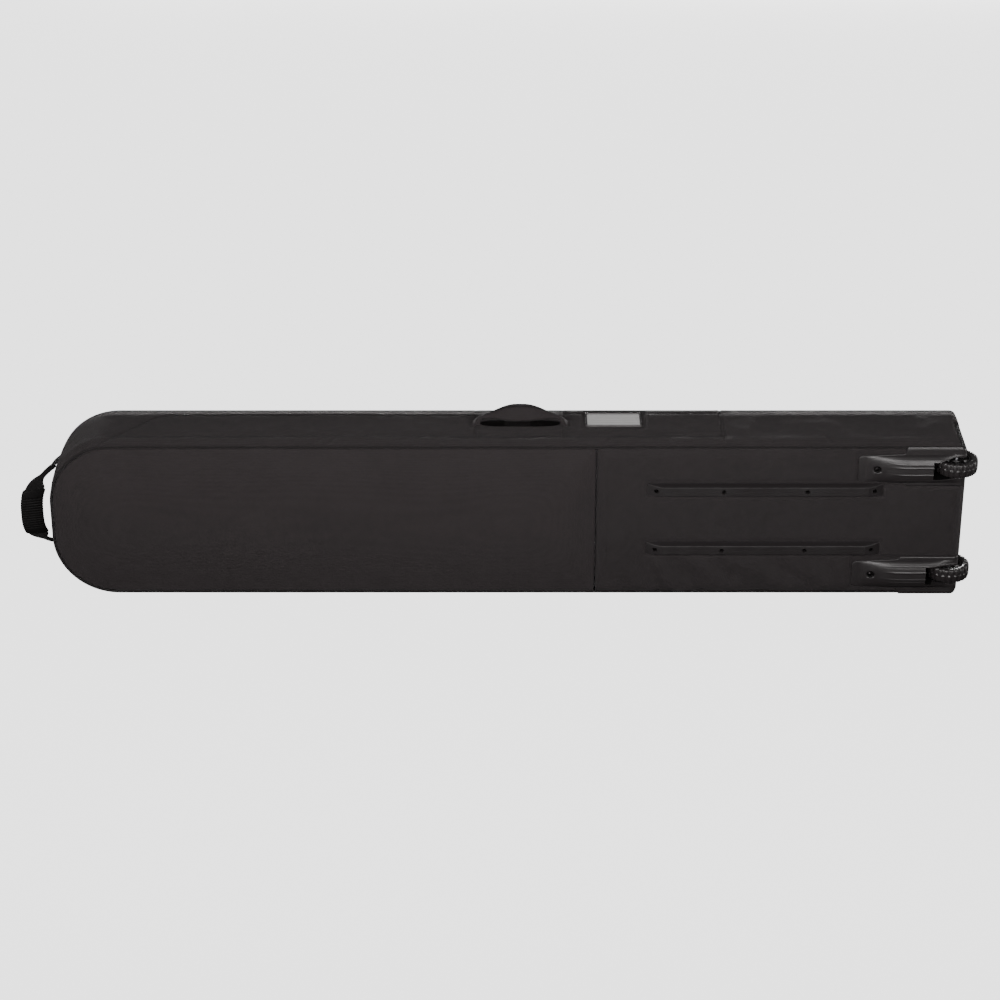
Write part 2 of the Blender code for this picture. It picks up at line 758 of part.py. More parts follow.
def make_housing():
    """The upper wheel housing: a plate on the base, a hood over it, and the well the wheel runs in."""
    height = WHEEL_HEIGHTS["upper"]
    half = HOUSING_HALF_WIDTH
    start = TAIL_X - HOUSING_LENGTH
    end = TAIL_X - 0.0005
    edge = TOP_Z - 0.0005
    shoulder = TAIL_X - FLANGE_LENGTH
    outline = arc(start + 0.008, height + half - 0.008, 0.008, 180, 90, 6)
    outline += [(shoulder - 0.006, height + half), (shoulder, edge - 0.003), (shoulder + 0.003, edge)]
    corner = TAIL_RADIUS - 0.0005
    outline += arc(end - corner, edge - corner, corner, 90, 0, 6)
    outline += [
        (end, height - half - 0.008),
        (shoulder + 0.006, height - half - 0.008),
        (shoulder, height - half),
    ]
    outline += arc(start + 0.008, height - half + 0.008, 0.008, 270, 180, 6)
    high = BACK_Y - GAP
    plate = flat_piece(
        "wheel_housing_upper", outline[::-1], high - HOUSING_PLATE, high, "moulded_plastic"
    )
    sections = [hood_section(x, rise, height) for x, rise in HOOD]
    join(plate, loft("hood", sections, "moulded_plastic", TOOLS))

    r = WELL_RADIUS + WELL_WALL
    floor = WHEEL_Y + r
    walls = [(TAIL_X - 0.0010, BACK_Y - 0.002), (TAIL_X - 0.0010, floor)]
    walls += arc(WHEEL_X, WHEEL_Y, r, 90, 192, 14)
    walls.append((WHEEL_X - r, BACK_Y - 0.002))
    reach = WELL_HALF_WIDTH + WELL_WALL
    well = flat_piece(
        "well_walls", walls, height - reach, height + reach, "moulded_plastic", group=TOOLS, axis="Z"
    )
    join(plate, well)

    r = WELL_RADIUS
    space = [(TAIL_X + 0.01, BACK_Y - 0.05), (TAIL_X + 0.01, WHEEL_Y + r)]
    space += arc(WHEEL_X, WHEEL_Y, r, 90, 180, 14)
    space.append((WHEEL_X - r, BACK_Y - 0.05))
    hollow = flat_piece(
        "well_space",
        space,
        height - WELL_HALF_WIDTH,
        height + WELL_HALF_WIDTH,
        "moulded_plastic",
        group=TOOLS,
        axis="Z",
    )
    cut(plate, hollow)
    cut(
        plate,
        cylinder(
            "axle_hole",
            AXLE_RADIUS + 0.00005,
            (WHEEL_X, WHEEL_Y, height - 0.03),
            (WHEEL_X, WHEEL_Y, height + 0.03),
            "moulded_plastic",
        ),
    )
    x = TAIL_X - 0.173
    drill(plate, "housing_screw_hole", x, height)
    return plate


def drill(piece, name, x, z):
    """A screw's hole through the piece, with a pocket for its head."""
    cut(
        piece,
        cylinder(
            name,
            SCREW_RADIUS + 0.0003,
            (x, BACK_Y - 0.03, z),
            (x, BACK_Y + 0.01, z),
            "steel",
            "Y",
            16,
        ),
        cylinder(
            f"{name}_pocket",
            SCREW_HEAD_RADIUS + 0.0005,
            (x, BACK_Y - 0.04, z),
            (x, BACK_Y - SCREW_SEAT, z),
            "steel",
            "Y",
            20,
        ),
    )


def make_rail():
    """The upper skid rail: a long bar with sloping sides and ends."""
    height = RAIL_HEIGHTS["upper"]
    base_y = BACK_Y - GAP
    half = RAIL_LENGTH / 2
    sections = []
    for along, rise in (
        (-half, 0.0025),
        (-half + RAIL_RAMP * 0.45, RAIL_HEIGHT * 0.62),
        (-half + RAIL_RAMP, RAIL_HEIGHT),
        (half - RAIL_RAMP, RAIL_HEIGHT),
        (half - RAIL_RAMP * 0.45, RAIL_HEIGHT * 0.62),
        (half, 0.0025),
    ):
        part = rise / RAIL_HEIGHT
        crown = RAIL_BASE / 2 + (RAIL_FACE - RAIL_BASE) / 2 * part
        bevel = min(0.0012, rise * 0.3)
        x = RAIL_X + along
        y = base_y - rise + GAP
        sections.append(
            [
                (x, base_y, height - RAIL_BASE / 2),
                (x, y + bevel, height - crown),
                (x, y, height - crown + bevel),
                (x, y, height + crown - bevel),
                (x, y + bevel, height + crown),
                (x, base_y, height + RAIL_BASE / 2),
            ]
        )
    rail = loft("skid_rail_upper", sections, "moulded_plastic")
    top = BACK_Y - RAIL_HEIGHT
    groove = box(
        "rail_groove",
        (RAIL_X - half + RAIL_RAMP + 0.004, top - 0.005, height - 0.0008),
        (RAIL_X + half - RAIL_RAMP - 0.004, top + 0.0010, height + 0.0008),
        "moulded_plastic",
        group=TOOLS,
    )
    cut(rail, groove)
    for number, along in enumerate(RAIL_SCREWS):
        drill(rail, f"rail_hole_{number}", RAIL_X + along, height)
    return rail


def make_screws():
    """Round-headed screws through the rails and housings into the base board."""
    tip = SKIN + 2 * GAP + BOARD + 0.0015
    head = SCREW_SEAT + GAP
    profile = [
        (0.0, head + 0.0024),
        (0.0022, head + 0.0022),
        (SCREW_HEAD_RADIUS, head + 0.0008),
        (SCREW_HEAD_RADIUS, head),
        (SCREW_RADIUS, head),
        (SCREW_RADIUS, -tip),
        (0.0, -tip),
    ]
    first = None
    for name, (x, z) in screw_places().items():
        if first is None:
            first = turned(name, profile, "steel", False, 12)
            first.rotation_euler.x = math.radians(90)
            first.location = (x, BACK_Y, z)
            bpy.context.view_layer.update()
            origin = first.location.copy()
        else:
            copy_at(first, name, Vector((x, BACK_Y, z)) - origin)


# Handles and card pocket


def smooth(value):
    value = min(max(value, 0.0), 1.0)
    return value * value * (3 - 2 * value)


def handle_sections(place, arch, width, thickness, lean, reach=1.0, count=23, clear=0.0):
    """Sections of a carrying strap that stands off the bag as an arch.

    The strap runs between its two sewn ends. There it is gathered to a round cord, and between
    them it opens into a band that leans. place maps (along, sideways, outward) to world space.
    The arch is its half span, its rise, how square it is, where 2 is round, and where the band
    begins to open and over what length, both as parts of the half span in from its ends.
    """
    half_span, rise, squareness_of_arch, gathered, opening = arch
    sections = []
    for i in range(count):
        t = -reach + 2 * reach * i / (count - 1)
        opened = smooth((1 - abs(t) - gathered) / opening)
        out = rise * max(1 - abs(t) ** squareness_of_arch, 0.0) ** 0.75
        angle = math.radians(lean * opened)
        half_w = (ROLLED_END + (width - ROLLED_END) * opened) / 2 + clear
        half_t = (ROLLED_END + (thickness - ROLLED_END) * opened) / 2 + clear
        ring = []
        for k in range(12):
            a = 2 * math.pi * (k + 0.5) / 12
            squareness = 2 / (2 + 2.5 * opened)
            cos, sin = math.cos(a), math.sin(a)
            across = half_w * math.copysign(abs(cos) ** squareness, cos)
            through = half_t * math.copysign(abs(sin) ** squareness, sin)
            sideways = across * math.cos(angle) - through * math.sin(angle)
            outward = out + across * math.sin(angle) + through * math.cos(angle)
            ring.append(place(t * half_span, sideways, outward))
        sections.append(ring)
    return sections


def side_handle_place(along, sideways, outward):
    return (SIDE_HANDLE_X + along, SIDE_HANDLE_Y + sideways, SIDE_HANDLE_AXIS_Z + outward)


def end_handle_place(along, sideways, outward):
    cos, sin = math.cos(END_HANDLE_TURN), math.sin(END_HANDLE_TURN)
    x = END_HANDLE_AXIS_X - outward * cos - sideways * sin
    y = MID_Y - outward * sin + sideways * cos
    sag = END_HANDLE_SAG * (1 - (along / END_HANDLE_HALF_SPAN) ** 2)
    return (x, y, END_HANDLE_Z + along - sag)


def make_side_handle():
    """The padded side handle, and the strip sewn on the sidewall that its ends are anchored to."""
    sections = handle_sections(
        side_handle_place,
        (SIDE_HANDLE_HALF_SPAN, SIDE_HANDLE_RISE, 2.2, 0.08, 0.62),
        SIDE_HANDLE_WIDTH,
        SIDE_HANDLE_THICKNESS,
        SIDE_HANDLE_LEAN,
    )
    grip = loft("side_handle", sections, "shell_fabric")
    swing = pivot("side_handle_swing", (SIDE_HANDLE_X, SIDE_HANDLE_Y, SIDE_HANDLE_AXIS_Z))
    hang(swing, grip)

    block = SIDE_HANDLE_HALF_SPAN + 2 * GAP
    end = block + ANCHOR_BLOCK
    base = TOP_Z + GAP
    top = SIDE_HANDLE_AXIS_Z + ROLLED_END / 2 - 0.001
    half_profile = [(end, base), (end, base + PATCH), (block, top), (block, base + PATCH)]
    profile = half_profile + [(-x, z) for x, z in half_profile[::-1]]
    profile = [(SIDE_HANDLE_X + x, z) for x, z in profile]
    low, high = SIDE_HANDLE_Y - ANCHOR_HALF_WIDTH, SIDE_HANDLE_Y + ANCHOR_HALF_WIDTH
    flat_piece("side_handle_patch", profile, low, high, "shell_fabric")


def nose_surface(z):
    """The nose's x at height z."""
    middle = TOP_Z - NOSE_RADIUS if z > MID_Z else NOSE_RADIUS
    rise = (z - middle) if (z - middle) * (z - MID_Z) > 0 else 0.0
    return NOSE_X + NOSE_RADIUS - math.sqrt(NOSE_RADIUS**2 - rise**2)


def make_end_handle():
    arch = (END_HANDLE_HALF_SPAN, END_HANDLE_RISE, 3, 0.16, 0.27)
    band = (END_STRAP_WIDTH, END_STRAP_THICKNESS, END_HANDLE_LEAN)
    strap = loft("end_handle_strap", handle_sections(end_handle_place, arch, *band), "webbing")
    reach = END_GRIP_HALF_LENGTH / END_HANDLE_HALF_SPAN
    cover = (END_GRIP_WIDTH, END_GRIP_THICKNESS, END_HANDLE_LEAN)
    sections = handle_sections(end_handle_place, arch, *cover, reach, 13)
    grip = loft("end_handle_grip", sections, "grip_rubber")
    sections = handle_sections(end_handle_place, arch, *band, clear=2 * GAP)
    cut(grip, loft("grip_slot", sections, "grip_rubber", TOOLS))
    swing = pivot("end_handle_swing", (END_HANDLE_AXIS_X, MID_Y, END_HANDLE_Z))
    hang(swing, strap, grip)

    for side, direction in (("upper", 1), ("lower", -1)):
        z0 = END_HANDLE_Z + direction * (END_HANDLE_HALF_SPAN + 2 * GAP)
        z1 = z0 + direction * 0.026
        half = ROLLED_END / 2 - 0.0005
        outline = [
            (END_HANDLE_AXIS_X - half, z0),
            (nose_surface(z0) + 0.004, z0),
            (nose_surface(z1) + 0.008, z1),
            (nose_surface(z1) - 0.0025, z1),
        ]
        low, high = MID_Y - TAB_HALF_WIDTH, MID_Y + TAB_HALF_WIDTH
        tab = flat_piece(f"end_handle_tab_{side}", outline, low, high, "webbing")
        middle_z = TOP_Z - NOSE_RADIUS if direction > 0 else NOSE_RADIUS
        middle_x = NOSE_X + NOSE_RADIUS
        cutter = cylinder(
            f"nose_round_{side}",
            NOSE_RADIUS + GAP,
            (middle_x, MID_Y - 0.05, middle_z),
            (middle_x, MID_Y + 0.05, middle_z),
            "webbing",
            "Y",
            128,
        )
        cut(tab, cutter)


def make_card_pocket():
    half_x, half_y = ID_SIZE[0] / 2, ID_SIZE[1] / 2
    z = TOP_Z + GAP

    def outline(inset, radius):
        return rounded_rectangle(
            ID_X - half_x + inset,
            ID_X + half_x - inset,
            ID_Y - half_y + inset,
            ID_Y + half_y - inset,
            (radius,) * 4,
            4,
        )

    opening = outline(0.0035, 0.003)
    flat_piece("card_frame", outline(0.0, 0.006), z, z + 0.0016, "webbing", [opening], axis="Z")
    flat_piece("card", outline(0.0048, 0.002), z, z + 0.0004, "card", axis="Z")
    window = outline(0.0040, 0.003)
    flat_piece("card_window", window, z + 0.0007, z + 0.0012, "clear_vinyl", axis="Z")


def main():
    clear_scene()
    MATERIALS.update(make_materials())
    make_back()
    make_base()
    make_sidewalls()
    make_ends()
    make_piping()
    make_front()
    fold = pivot("lid_fold", (0.0, FRONT_Y, HINGE_Z))
    make_lid(fold)
    for side in SLIDER_XS:
        make_slider(side, fold)
    for side in WHEEL_HEIGHTS:
        make_wheel(side)
    housing = make_housing()
    lower = mirrored_in_width(housing, "wheel_housing_lower")
    set_material(lower, "moulded_plastic")
    rail = make_rail()
    lower = moved_copy(rail, "skid_rail_lower", (0, 0, -RAIL_SPACING))
    set_material(lower, "moulded_plastic")
    make_screws()
    make_side_handle()
    make_end_handle()
    make_card_pocket()


MATERIALS = {}
main()
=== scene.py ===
"""The looks of the wheeled snowboard bag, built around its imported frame. Metres, +Z up.

The nose is at -X, the wheels at +X, the back with the rails faces -Y and the zipped lid faces +Y.
"""

import json
import math

import bmesh
import bpy
import numpy as np
from mathutils import Matrix, Vector

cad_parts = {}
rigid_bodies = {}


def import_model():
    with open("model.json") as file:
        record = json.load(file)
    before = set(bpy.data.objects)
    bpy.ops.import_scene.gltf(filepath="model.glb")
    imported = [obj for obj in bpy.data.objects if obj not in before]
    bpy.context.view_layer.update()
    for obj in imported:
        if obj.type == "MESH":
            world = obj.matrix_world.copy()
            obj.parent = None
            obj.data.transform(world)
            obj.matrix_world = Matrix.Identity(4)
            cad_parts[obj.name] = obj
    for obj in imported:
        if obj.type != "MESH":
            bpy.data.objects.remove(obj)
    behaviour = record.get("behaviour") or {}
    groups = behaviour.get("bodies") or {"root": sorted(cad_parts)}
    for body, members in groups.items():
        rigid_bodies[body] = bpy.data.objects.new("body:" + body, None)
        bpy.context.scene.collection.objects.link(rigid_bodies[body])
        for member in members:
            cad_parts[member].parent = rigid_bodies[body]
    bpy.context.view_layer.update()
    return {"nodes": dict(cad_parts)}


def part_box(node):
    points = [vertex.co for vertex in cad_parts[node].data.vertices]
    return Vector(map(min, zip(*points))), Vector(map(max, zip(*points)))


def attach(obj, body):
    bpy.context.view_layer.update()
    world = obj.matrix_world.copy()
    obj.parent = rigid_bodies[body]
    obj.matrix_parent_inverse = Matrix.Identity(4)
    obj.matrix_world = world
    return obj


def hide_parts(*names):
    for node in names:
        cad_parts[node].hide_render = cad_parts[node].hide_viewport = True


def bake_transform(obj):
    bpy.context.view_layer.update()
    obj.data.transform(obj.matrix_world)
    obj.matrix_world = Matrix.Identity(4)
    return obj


for thing in list(bpy.data.objects):
    bpy.data.objects.remove(thing, do_unlink=True)
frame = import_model()


# The frame's own measurements
RIM_LOW, RIM_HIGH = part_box("front_rim")
NOSE, TAIL, FRONT, TOP = RIM_LOW.x, RIM_HIGH.x, RIM_HIGH.y, RIM_HIGH.z
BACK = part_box("back_panel")[0].y
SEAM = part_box("back_panel")[1].x
MID_Z = TOP / 2
MID_Y = (BACK + FRONT) / 2
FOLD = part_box("lid_panel")[1].z
NOSE_R, TAIL_R = 0.125, 0.013
INSET = 0.005
FRONT_ROLL = 0.006
TAIL_ROLL = 0.008
ZIP_INSET = 0.030
ZIP_TAIL_CORNER = 0.070
TYRE_LOW, TYRE_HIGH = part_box("tyre_upper")
WHEEL_X = (TYRE_LOW.x + TYRE_HIGH.x) / 2
WHEEL_Y = (TYRE_LOW.y + TYRE_HIGH.y) / 2
WHEEL_R = (TYRE_HIGH.y - TYRE_LOW.y) / 2
WHEEL_ZS = {s: (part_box(f"tyre_{s}")[0].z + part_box(f"tyre_{s}")[1].z) / 2 for s in ("upper", "lower")}
WELL_X = WHEEL_X - 0.050
WELL_DEPTH = WHEEL_Y + 0.050
RAILS = {s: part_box(f"skid_rail_{s}") for s in ("upper", "lower")}
HOUSINGS = {s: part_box(f"wheel_housing_{s}") for s in ("upper", "lower")}
HOUSING_HALF = 0.0375  # half a housing's width without its shoulder
PLATE_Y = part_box("tail_plate")[1].y


# ---------------------------------------------------------------- numbers


def lattice(ix, iy, iz, seed):
    """A fixed random value from -1 to 1 for each whole-number cell."""
    h = (ix * 374761393 + iy * 668265263 + iz * 1440662683 + seed * 1274126177) & 0xFFFFFFFF
    h = ((h ^ (h >> 13)) * 1274126177) & 0xFFFFFFFF
    return ((h ^ (h >> 16)) & 0xFFFF) / 32767.5 - 1.0


def noise(points, scale, seed=0, stretch=(1, 1, 1)):
    """Smooth noise from -1 to 1 whose lumps are about scale metres across."""
    p = points / scale * np.array(stretch, float)
    cell = np.floor(p).astype(np.int64)
    f = p - cell
    f = f * f * (3 - 2 * f)
    total = 0.0
    for dx in (0, 1):
        for dy in (0, 1):
            for dz in (0, 1):
                w = (f[:, 0] if dx else 1 - f[:, 0]) * (f[:, 1] if dy else 1 - f[:, 1])
                w = w * (f[:, 2] if dz else 1 - f[:, 2])
                total = total + w * lattice(cell[:, 0] + dx, cell[:, 1] + dy, cell[:, 2] + dz, seed)
    return total


def smooth(value):
    """Eased from 0 to 1."""
    value = np.clip(value, 0.0, 1.0)
    return value * value * (3 - 2 * value)


def far_from(points, path, closed=False):
    """Each 2-D point's distance to the path, and how far along the path its nearest place is."""
    path = np.array(path, float)
    ends = np.roll(path, -1, 0) if closed else path[1:]
    starts = path if closed else path[:-1]
    best = np.full(len(points), 1e9)
    where = np.zeros(len(points))
    run = 0.0
    for a, b in zip(starts, ends):
        d = b - a
        length = float(np.hypot(*d))
        if length < 1e-9:
            continue
        t = np.clip(((points - a) @ d) / (length * length), 0, 1)
        away = np.hypot(*(points - (a + t[:, None] * d)).T)
        closer = away < best
        best = np.where(closer, away, best)
        where = np.where(closer, run + t * length, where)
        run += length
    return best, where


def seam(points, path, depth=0.0012, width=0.0016, pucker=0.0004, pitch=0.011, reach=0.010, seed=1):
    """How far a sewn line pulls the cloth in at each 2-D point, with the puckers beside it."""
    away, along = far_from(points, path)
    p3 = np.stack([along, away * 0, along * 0], 1)
    phase = 2 * math.pi * along / pitch + 2.5 * noise(p3, 0.035, seed)
    strength = 0.55 + 0.45 * noise(p3, 0.05, seed + 7)
    gather = pucker * strength * np.sin(phase) * np.exp(-((away / reach) ** 2))
    gather = gather * (1 - np.exp(-((away / 0.002) ** 2)))
    return -depth * np.exp(-((away / width) ** 2)) + gather


def arc(x, z, radius, start, end, steps):
    angles = [math.radians(start + (end - start) * i / steps) for i in range(steps + 1)]
    return [(x + radius * math.cos(a), z + radius * math.sin(a)) for a in angles]


def outline(inset=0.0, x1=None, tail_round=True, steps=18):
    """The shell's outline in (x, z), anticlockwise, moved in by inset."""
    x1 = TAIL - inset if x1 is None else x1
    n, t = NOSE_R - inset, max(TAIL_R - inset, 0.004)
    points = arc(NOSE + NOSE_R, NOSE_R, n, 180, 270, steps)
    if tail_round:
        points += arc(x1 - t, inset + t, t, 270, 360, 8) + arc(x1 - t, TOP - inset - t, t, 0, 90, 8)
    else:
        points += [(x1, inset), (x1, TOP - inset)]
    points += arc(NOSE + NOSE_R, TOP - NOSE_R, n, 90, 180, steps)
    return points


def even(points, step, closed=True):
    """The path's points again, evenly spaced."""
    p = np.array(points, float)
    if closed:
        p = np.vstack([p, p[:1]])
    seg = np.hypot(*(p[1:] - p[:-1]).T)
    keep = np.append(True, seg > 1e-9)
    p, run = p[keep], np.append(0, np.cumsum(seg[seg > 1e-9]))
    count = max(int(round(run[-1] / step)), 3)
    s = np.linspace(0, run[-1], count + (0 if closed else 1), endpoint=not closed)
    return np.stack([np.interp(s, run, p[:, 0]), np.interp(s, run, p[:, 1])], 1)


def normals_of(path, closed=True):
    """Outward normals of an anticlockwise path."""
    if closed:
        d = np.roll(path, -1, 0) - np.roll(path, 1, 0)
    else:
        d = np.gradient(path, axis=0)
    n = np.stack([d[:, 1], -d[:, 0]], 1)
    return n / np.maximum(np.hypot(*n.T), 1e-9)[:, None]


def zip_path(inset, top):
    """The zip's line in (x, z): down round the nose, along the bottom and up round the tail."""
    radius = NOSE_R - inset
    start = 180 - math.degrees(math.asin((top - (TOP - NOSE_R)) / radius))
    points = arc(NOSE + NOSE_R, TOP - NOSE_R, radius, start, 180, 12)
    points += arc(NOSE + NOSE_R, NOSE_R, radius, 180, 270, 24)
    points += arc(TAIL - ZIP_TAIL_CORNER, ZIP_TAIL_CORNER, ZIP_TAIL_CORNER - inset, 270, 360, 12)
    points.append((TAIL - inset, top))
    return points


# ---------------------------------------------------------------- meshes


def mesh_object(name, verts, faces, mats, smooth_shade=True, slots=None):
    mesh = bpy.data.meshes.new(name)
    mesh.from_pydata([tuple(v) for v in verts], [], [tuple(int(i) for i in f) for f in faces])
    for m in mats if isinstance(mats, (list, tuple)) else [mats]:
        mesh.materials.append(m)
    if slots is not None:
        mesh.polygons.foreach_set("material_index", np.array(slots, np.int32))
    mesh.validate()
    if smooth_shade:
        mesh.shade_smooth()
    made = bpy.data.objects.new(name, mesh)
    bpy.context.scene.collection.objects.link(made)
    return made


def grid_faces(rows, cols, wrap=False, flip=False):
    i, j = np.meshgrid(np.arange(rows - 1), np.arange(cols if wrap else cols - 1), indexing="ij")
    a = i * cols + j
    b = i * cols + (j + 1) % cols
    c = (i + 1) * cols + (j + 1) % cols
    d = (i + 1) * cols + j
    faces = np.stack([a, b, c, d] if not flip else [d, c, b, a], -1).reshape(-1, 4)
    return faces


def solidify(obj, thickness, offset=-1.0):
    m = obj.modifiers.new("thickness", "SOLIDIFY")
    m.thickness = thickness
    m.offset = offset
    m.use_rim = True
    return m


def bevel(obj, width, segments=2, angle=35):
    m = obj.modifiers.new("edges", "BEVEL")
    m.width = width
    m.segments = segments
    m.limit_method = "ANGLE"
    m.angle_limit = math.radians(angle)
    m.harden_normals = False
    return m


def apply_modifiers(obj):
    graph = bpy.context.evaluated_depsgraph_get()
    bpy.context.view_layer.update()
    mesh = bpy.data.meshes.new_from_object(obj.evaluated_get(graph))
    obj.modifiers.clear()
    old = obj.data
    obj.data = mesh
    bpy.data.meshes.remove(old)


def place(obj, body, replaces=()):
    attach(obj, body)
    if replaces:
        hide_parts(*replaces)
    return obj


def coords(obj):
    co = np.zeros(len(obj.data.vertices) * 3)
    obj.data.vertices.foreach_get("co", co)
    return co.reshape(-1, 3)


def set_coords(obj, co):
    obj.data.vertices.foreach_set("co", co.reshape(-1).astype(np.float32))
    obj.data.update()


def stitches(name, lines, mat, body, pitch=0.0042, length=0.0029, radius=0.00032):
    """Rows of thread along 3-D lines. Each line is (points, lift direction)."""
    verts, faces = [], []
    ring = 5
    for points, up in lines:
        p = np.array(points, float)
        seg = np.linalg.norm(p[1:] - p[:-1], axis=1)
        run = np.append(0, np.cumsum(seg))
        count = int(run[-1] / pitch)
        if count < 1:
            continue
        up = np.array(up, float)
        starts = (np.arange(count) + 0.5) * run[-1] / count - length / 2
        samples = np.array([0.0, 0.22, 0.5, 0.78, 1.0])
        lift = np.array([-0.6, 0.35, 0.75, 0.35, -0.6]) * radius
        size = np.array([0.45, 0.95, 1.0, 0.95, 0.45]) * radius
        for s in starts:
            at = s + samples * length
            c = np.stack([np.interp(at, run, p[:, k]) for k in range(3)], 1)
            t = c[-1] - c[0]
            t /= max(np.linalg.norm(t), 1e-9)
            side = np.cross(t, up)
            side /= max(np.linalg.norm(side), 1e-9)
            base = len(verts)
            for k in range(5):
                centre = c[k] + up * lift[k]
                for j in range(ring):
                    a = 2 * math.pi * j / ring
                    verts.append(centre + size[k] * (math.cos(a) * side + math.sin(a) * up))
            for k in range(4):
                for j in range(ring):
                    j2 = (j + 1) % ring
                    here, there = base + k * ring, base + (k + 1) * ring
                    faces.append((here + j, here + j2, there + j2, there + j))
            faces.append(tuple(base + j for j in range(ring))[::-1])
            faces.append(tuple(base + 4 * ring + j for j in range(ring)))
    made = mesh_object(name, verts, faces, mat)
    return place(made, body)


def tube(name, points, radius, mat, closed=False, ring=10, squash=1.0):
    """A round cord along 3-D points."""
    p = np.array(points, float)
    d = np.gradient(p, axis=0) if not closed else np.roll(p, -1, 0) - np.roll(p, 1, 0)
    d /= np.maximum(np.linalg.norm(d, axis=1), 1e-9)[:, None]
    verts = []
    ref = np.array([0, 1.0, 0])
    for c, t in zip(p, d):
        u = np.cross(t, ref)
        if np.linalg.norm(u) < 1e-3:
            u = np.cross(t, np.array([1.0, 0, 0]))
        u /= np.linalg.norm(u)
        v = np.cross(t, u)
        for j in range(ring):
            a = 2 * math.pi * j / ring
            verts.append(c + radius * (math.cos(a) * u + squash * math.sin(a) * v))
    faces = []
    n = len(p)
    for i in range(n if closed else n - 1):
        for j in range(ring):
            j2 = (j + 1) % ring
            i2 = (i + 1) % n
            faces.append((i * ring + j, i2 * ring + j, i2 * ring + j2, i * ring + j2))
    if not closed:
        faces.append(tuple(range(ring)))
        faces.append(tuple((n - 1) * ring + j for j in range(ring))[::-1])
    return mesh_object(name, verts, faces, mat)


# ---------------------------------------------------------------- materials


class Look:
    """A material and its nodes."""

    def __init__(self, name, color, roughness, **sockets):
        self.mat = bpy.data.materials.new(name)
        self.mat.use_nodes = True
        self.tree = self.mat.node_tree
        self.shader = self.tree.nodes["Principled BSDF"]
        self.shader.inputs["Base Color"].default_value = (*color, 1)
        self.shader.inputs["Roughness"].default_value = roughness
        for key, value in sockets.items():
            self.shader.inputs[key.replace("_", " ")].default_value = value
        self.color = color
        self.coord = self.tree.nodes.new("ShaderNodeTexCoord").outputs["Object"]
        self.bumps = []

    def node(self, kind, inputs=(), **props):
        made = self.tree.nodes.new(kind)
        for key, value in props.items():
            setattr(made, key, value)
        for key, value in dict(inputs).items():
            socket = made.inputs[key]
            if hasattr(value, "node"):
                self.tree.links.new(value, socket)
            else:
                socket.default_value = value
        return made

    def scaled(self, scale, rotation=(0, 0, 0)):
        inputs = {"Vector": self.coord, "Scale": scale, "Rotation": rotation}
        return self.node("ShaderNodeMapping", inputs).outputs[0]

    def noise(self, scale, detail=3.0, roughness=0.5, stretch=None, distortion=0.0):
        vector = self.coord if stretch is None else self.scaled(stretch)
        return self.node(
            "ShaderNodeTexNoise",
            {
                "Vector": vector, "Scale": scale, "Detail": detail,
                "Roughness": roughness, "Distortion": distortion,
            },
        ).outputs["Fac"]

    def voronoi(self, scale, feature="F1", stretch=None):
        vector = self.coord if stretch is None else self.scaled(stretch)
        inputs = {"Vector": vector, "Scale": scale}
        return self.node("ShaderNodeTexVoronoi", inputs, feature=feature).outputs["Distance"]

    def math(self, operation, a, b=0.0, clamp=False):
        return self.node("ShaderNodeMath", {0: a, 1: b}, operation=operation, use_clamp=clamp).outputs[0]

    def ramp(self, value, low, high, a=0.0, b=1.0):
        return self.node(
            "ShaderNodeMapRange",
            {"Value": value, "From Min": low, "From Max": high, "To Min": a, "To Max": b},
        ).outputs[0]

    def mix(self, factor, a, b):
        made = self.node("ShaderNodeMix", data_type="RGBA")
        for socket, value in ((made.inputs[0], factor), (made.inputs[6], a), (made.inputs[7], b)):
            if hasattr(value, "node"):
                self.tree.links.new(value, socket)
            elif isinstance(value, tuple):
                socket.default_value = (*value[:3], 1)
            else:
                socket.default_value = value
        return made.outputs[2]

    def tint(self, parts):
        """Base colour from the plain colour and (factor, colour) layers over it."""
        current = tuple(self.color)
        for factor, color in parts:
            current = self.mix(factor, current, color)
        self.tree.links.new(current, self.shader.inputs["Base Color"])

    def rough(self, value):
        self.tree.links.new(value, self.shader.inputs["Roughness"])

    def bump(self, height, distance, strength=1.0):
        made = self.node("ShaderNodeBump", {"Height": height, "Distance": distance, "Strength": strength})
        if self.bumps:
            self.tree.links.new(self.bumps[-1].outputs[0], made.inputs["Normal"])
        self.bumps.append(made)
        self.tree.links.new(made.outputs[0], self.shader.inputs["Normal"])
        return made

    def waves(self, pitch, axes="XYZ"):
        """The sum of a wave along each axis: on a flat face it reads as warp and weft."""
        total = None
        split = self.node("ShaderNodeSeparateXYZ", {"Vector": self.coord})
        for axis in axes:
            wave = self.math("SINE", self.math("MULTIPLY", split.outputs[axis], 2 * math.pi / pitch))
            total = wave if total is None else self.math("ADD", total, wave)
        return total


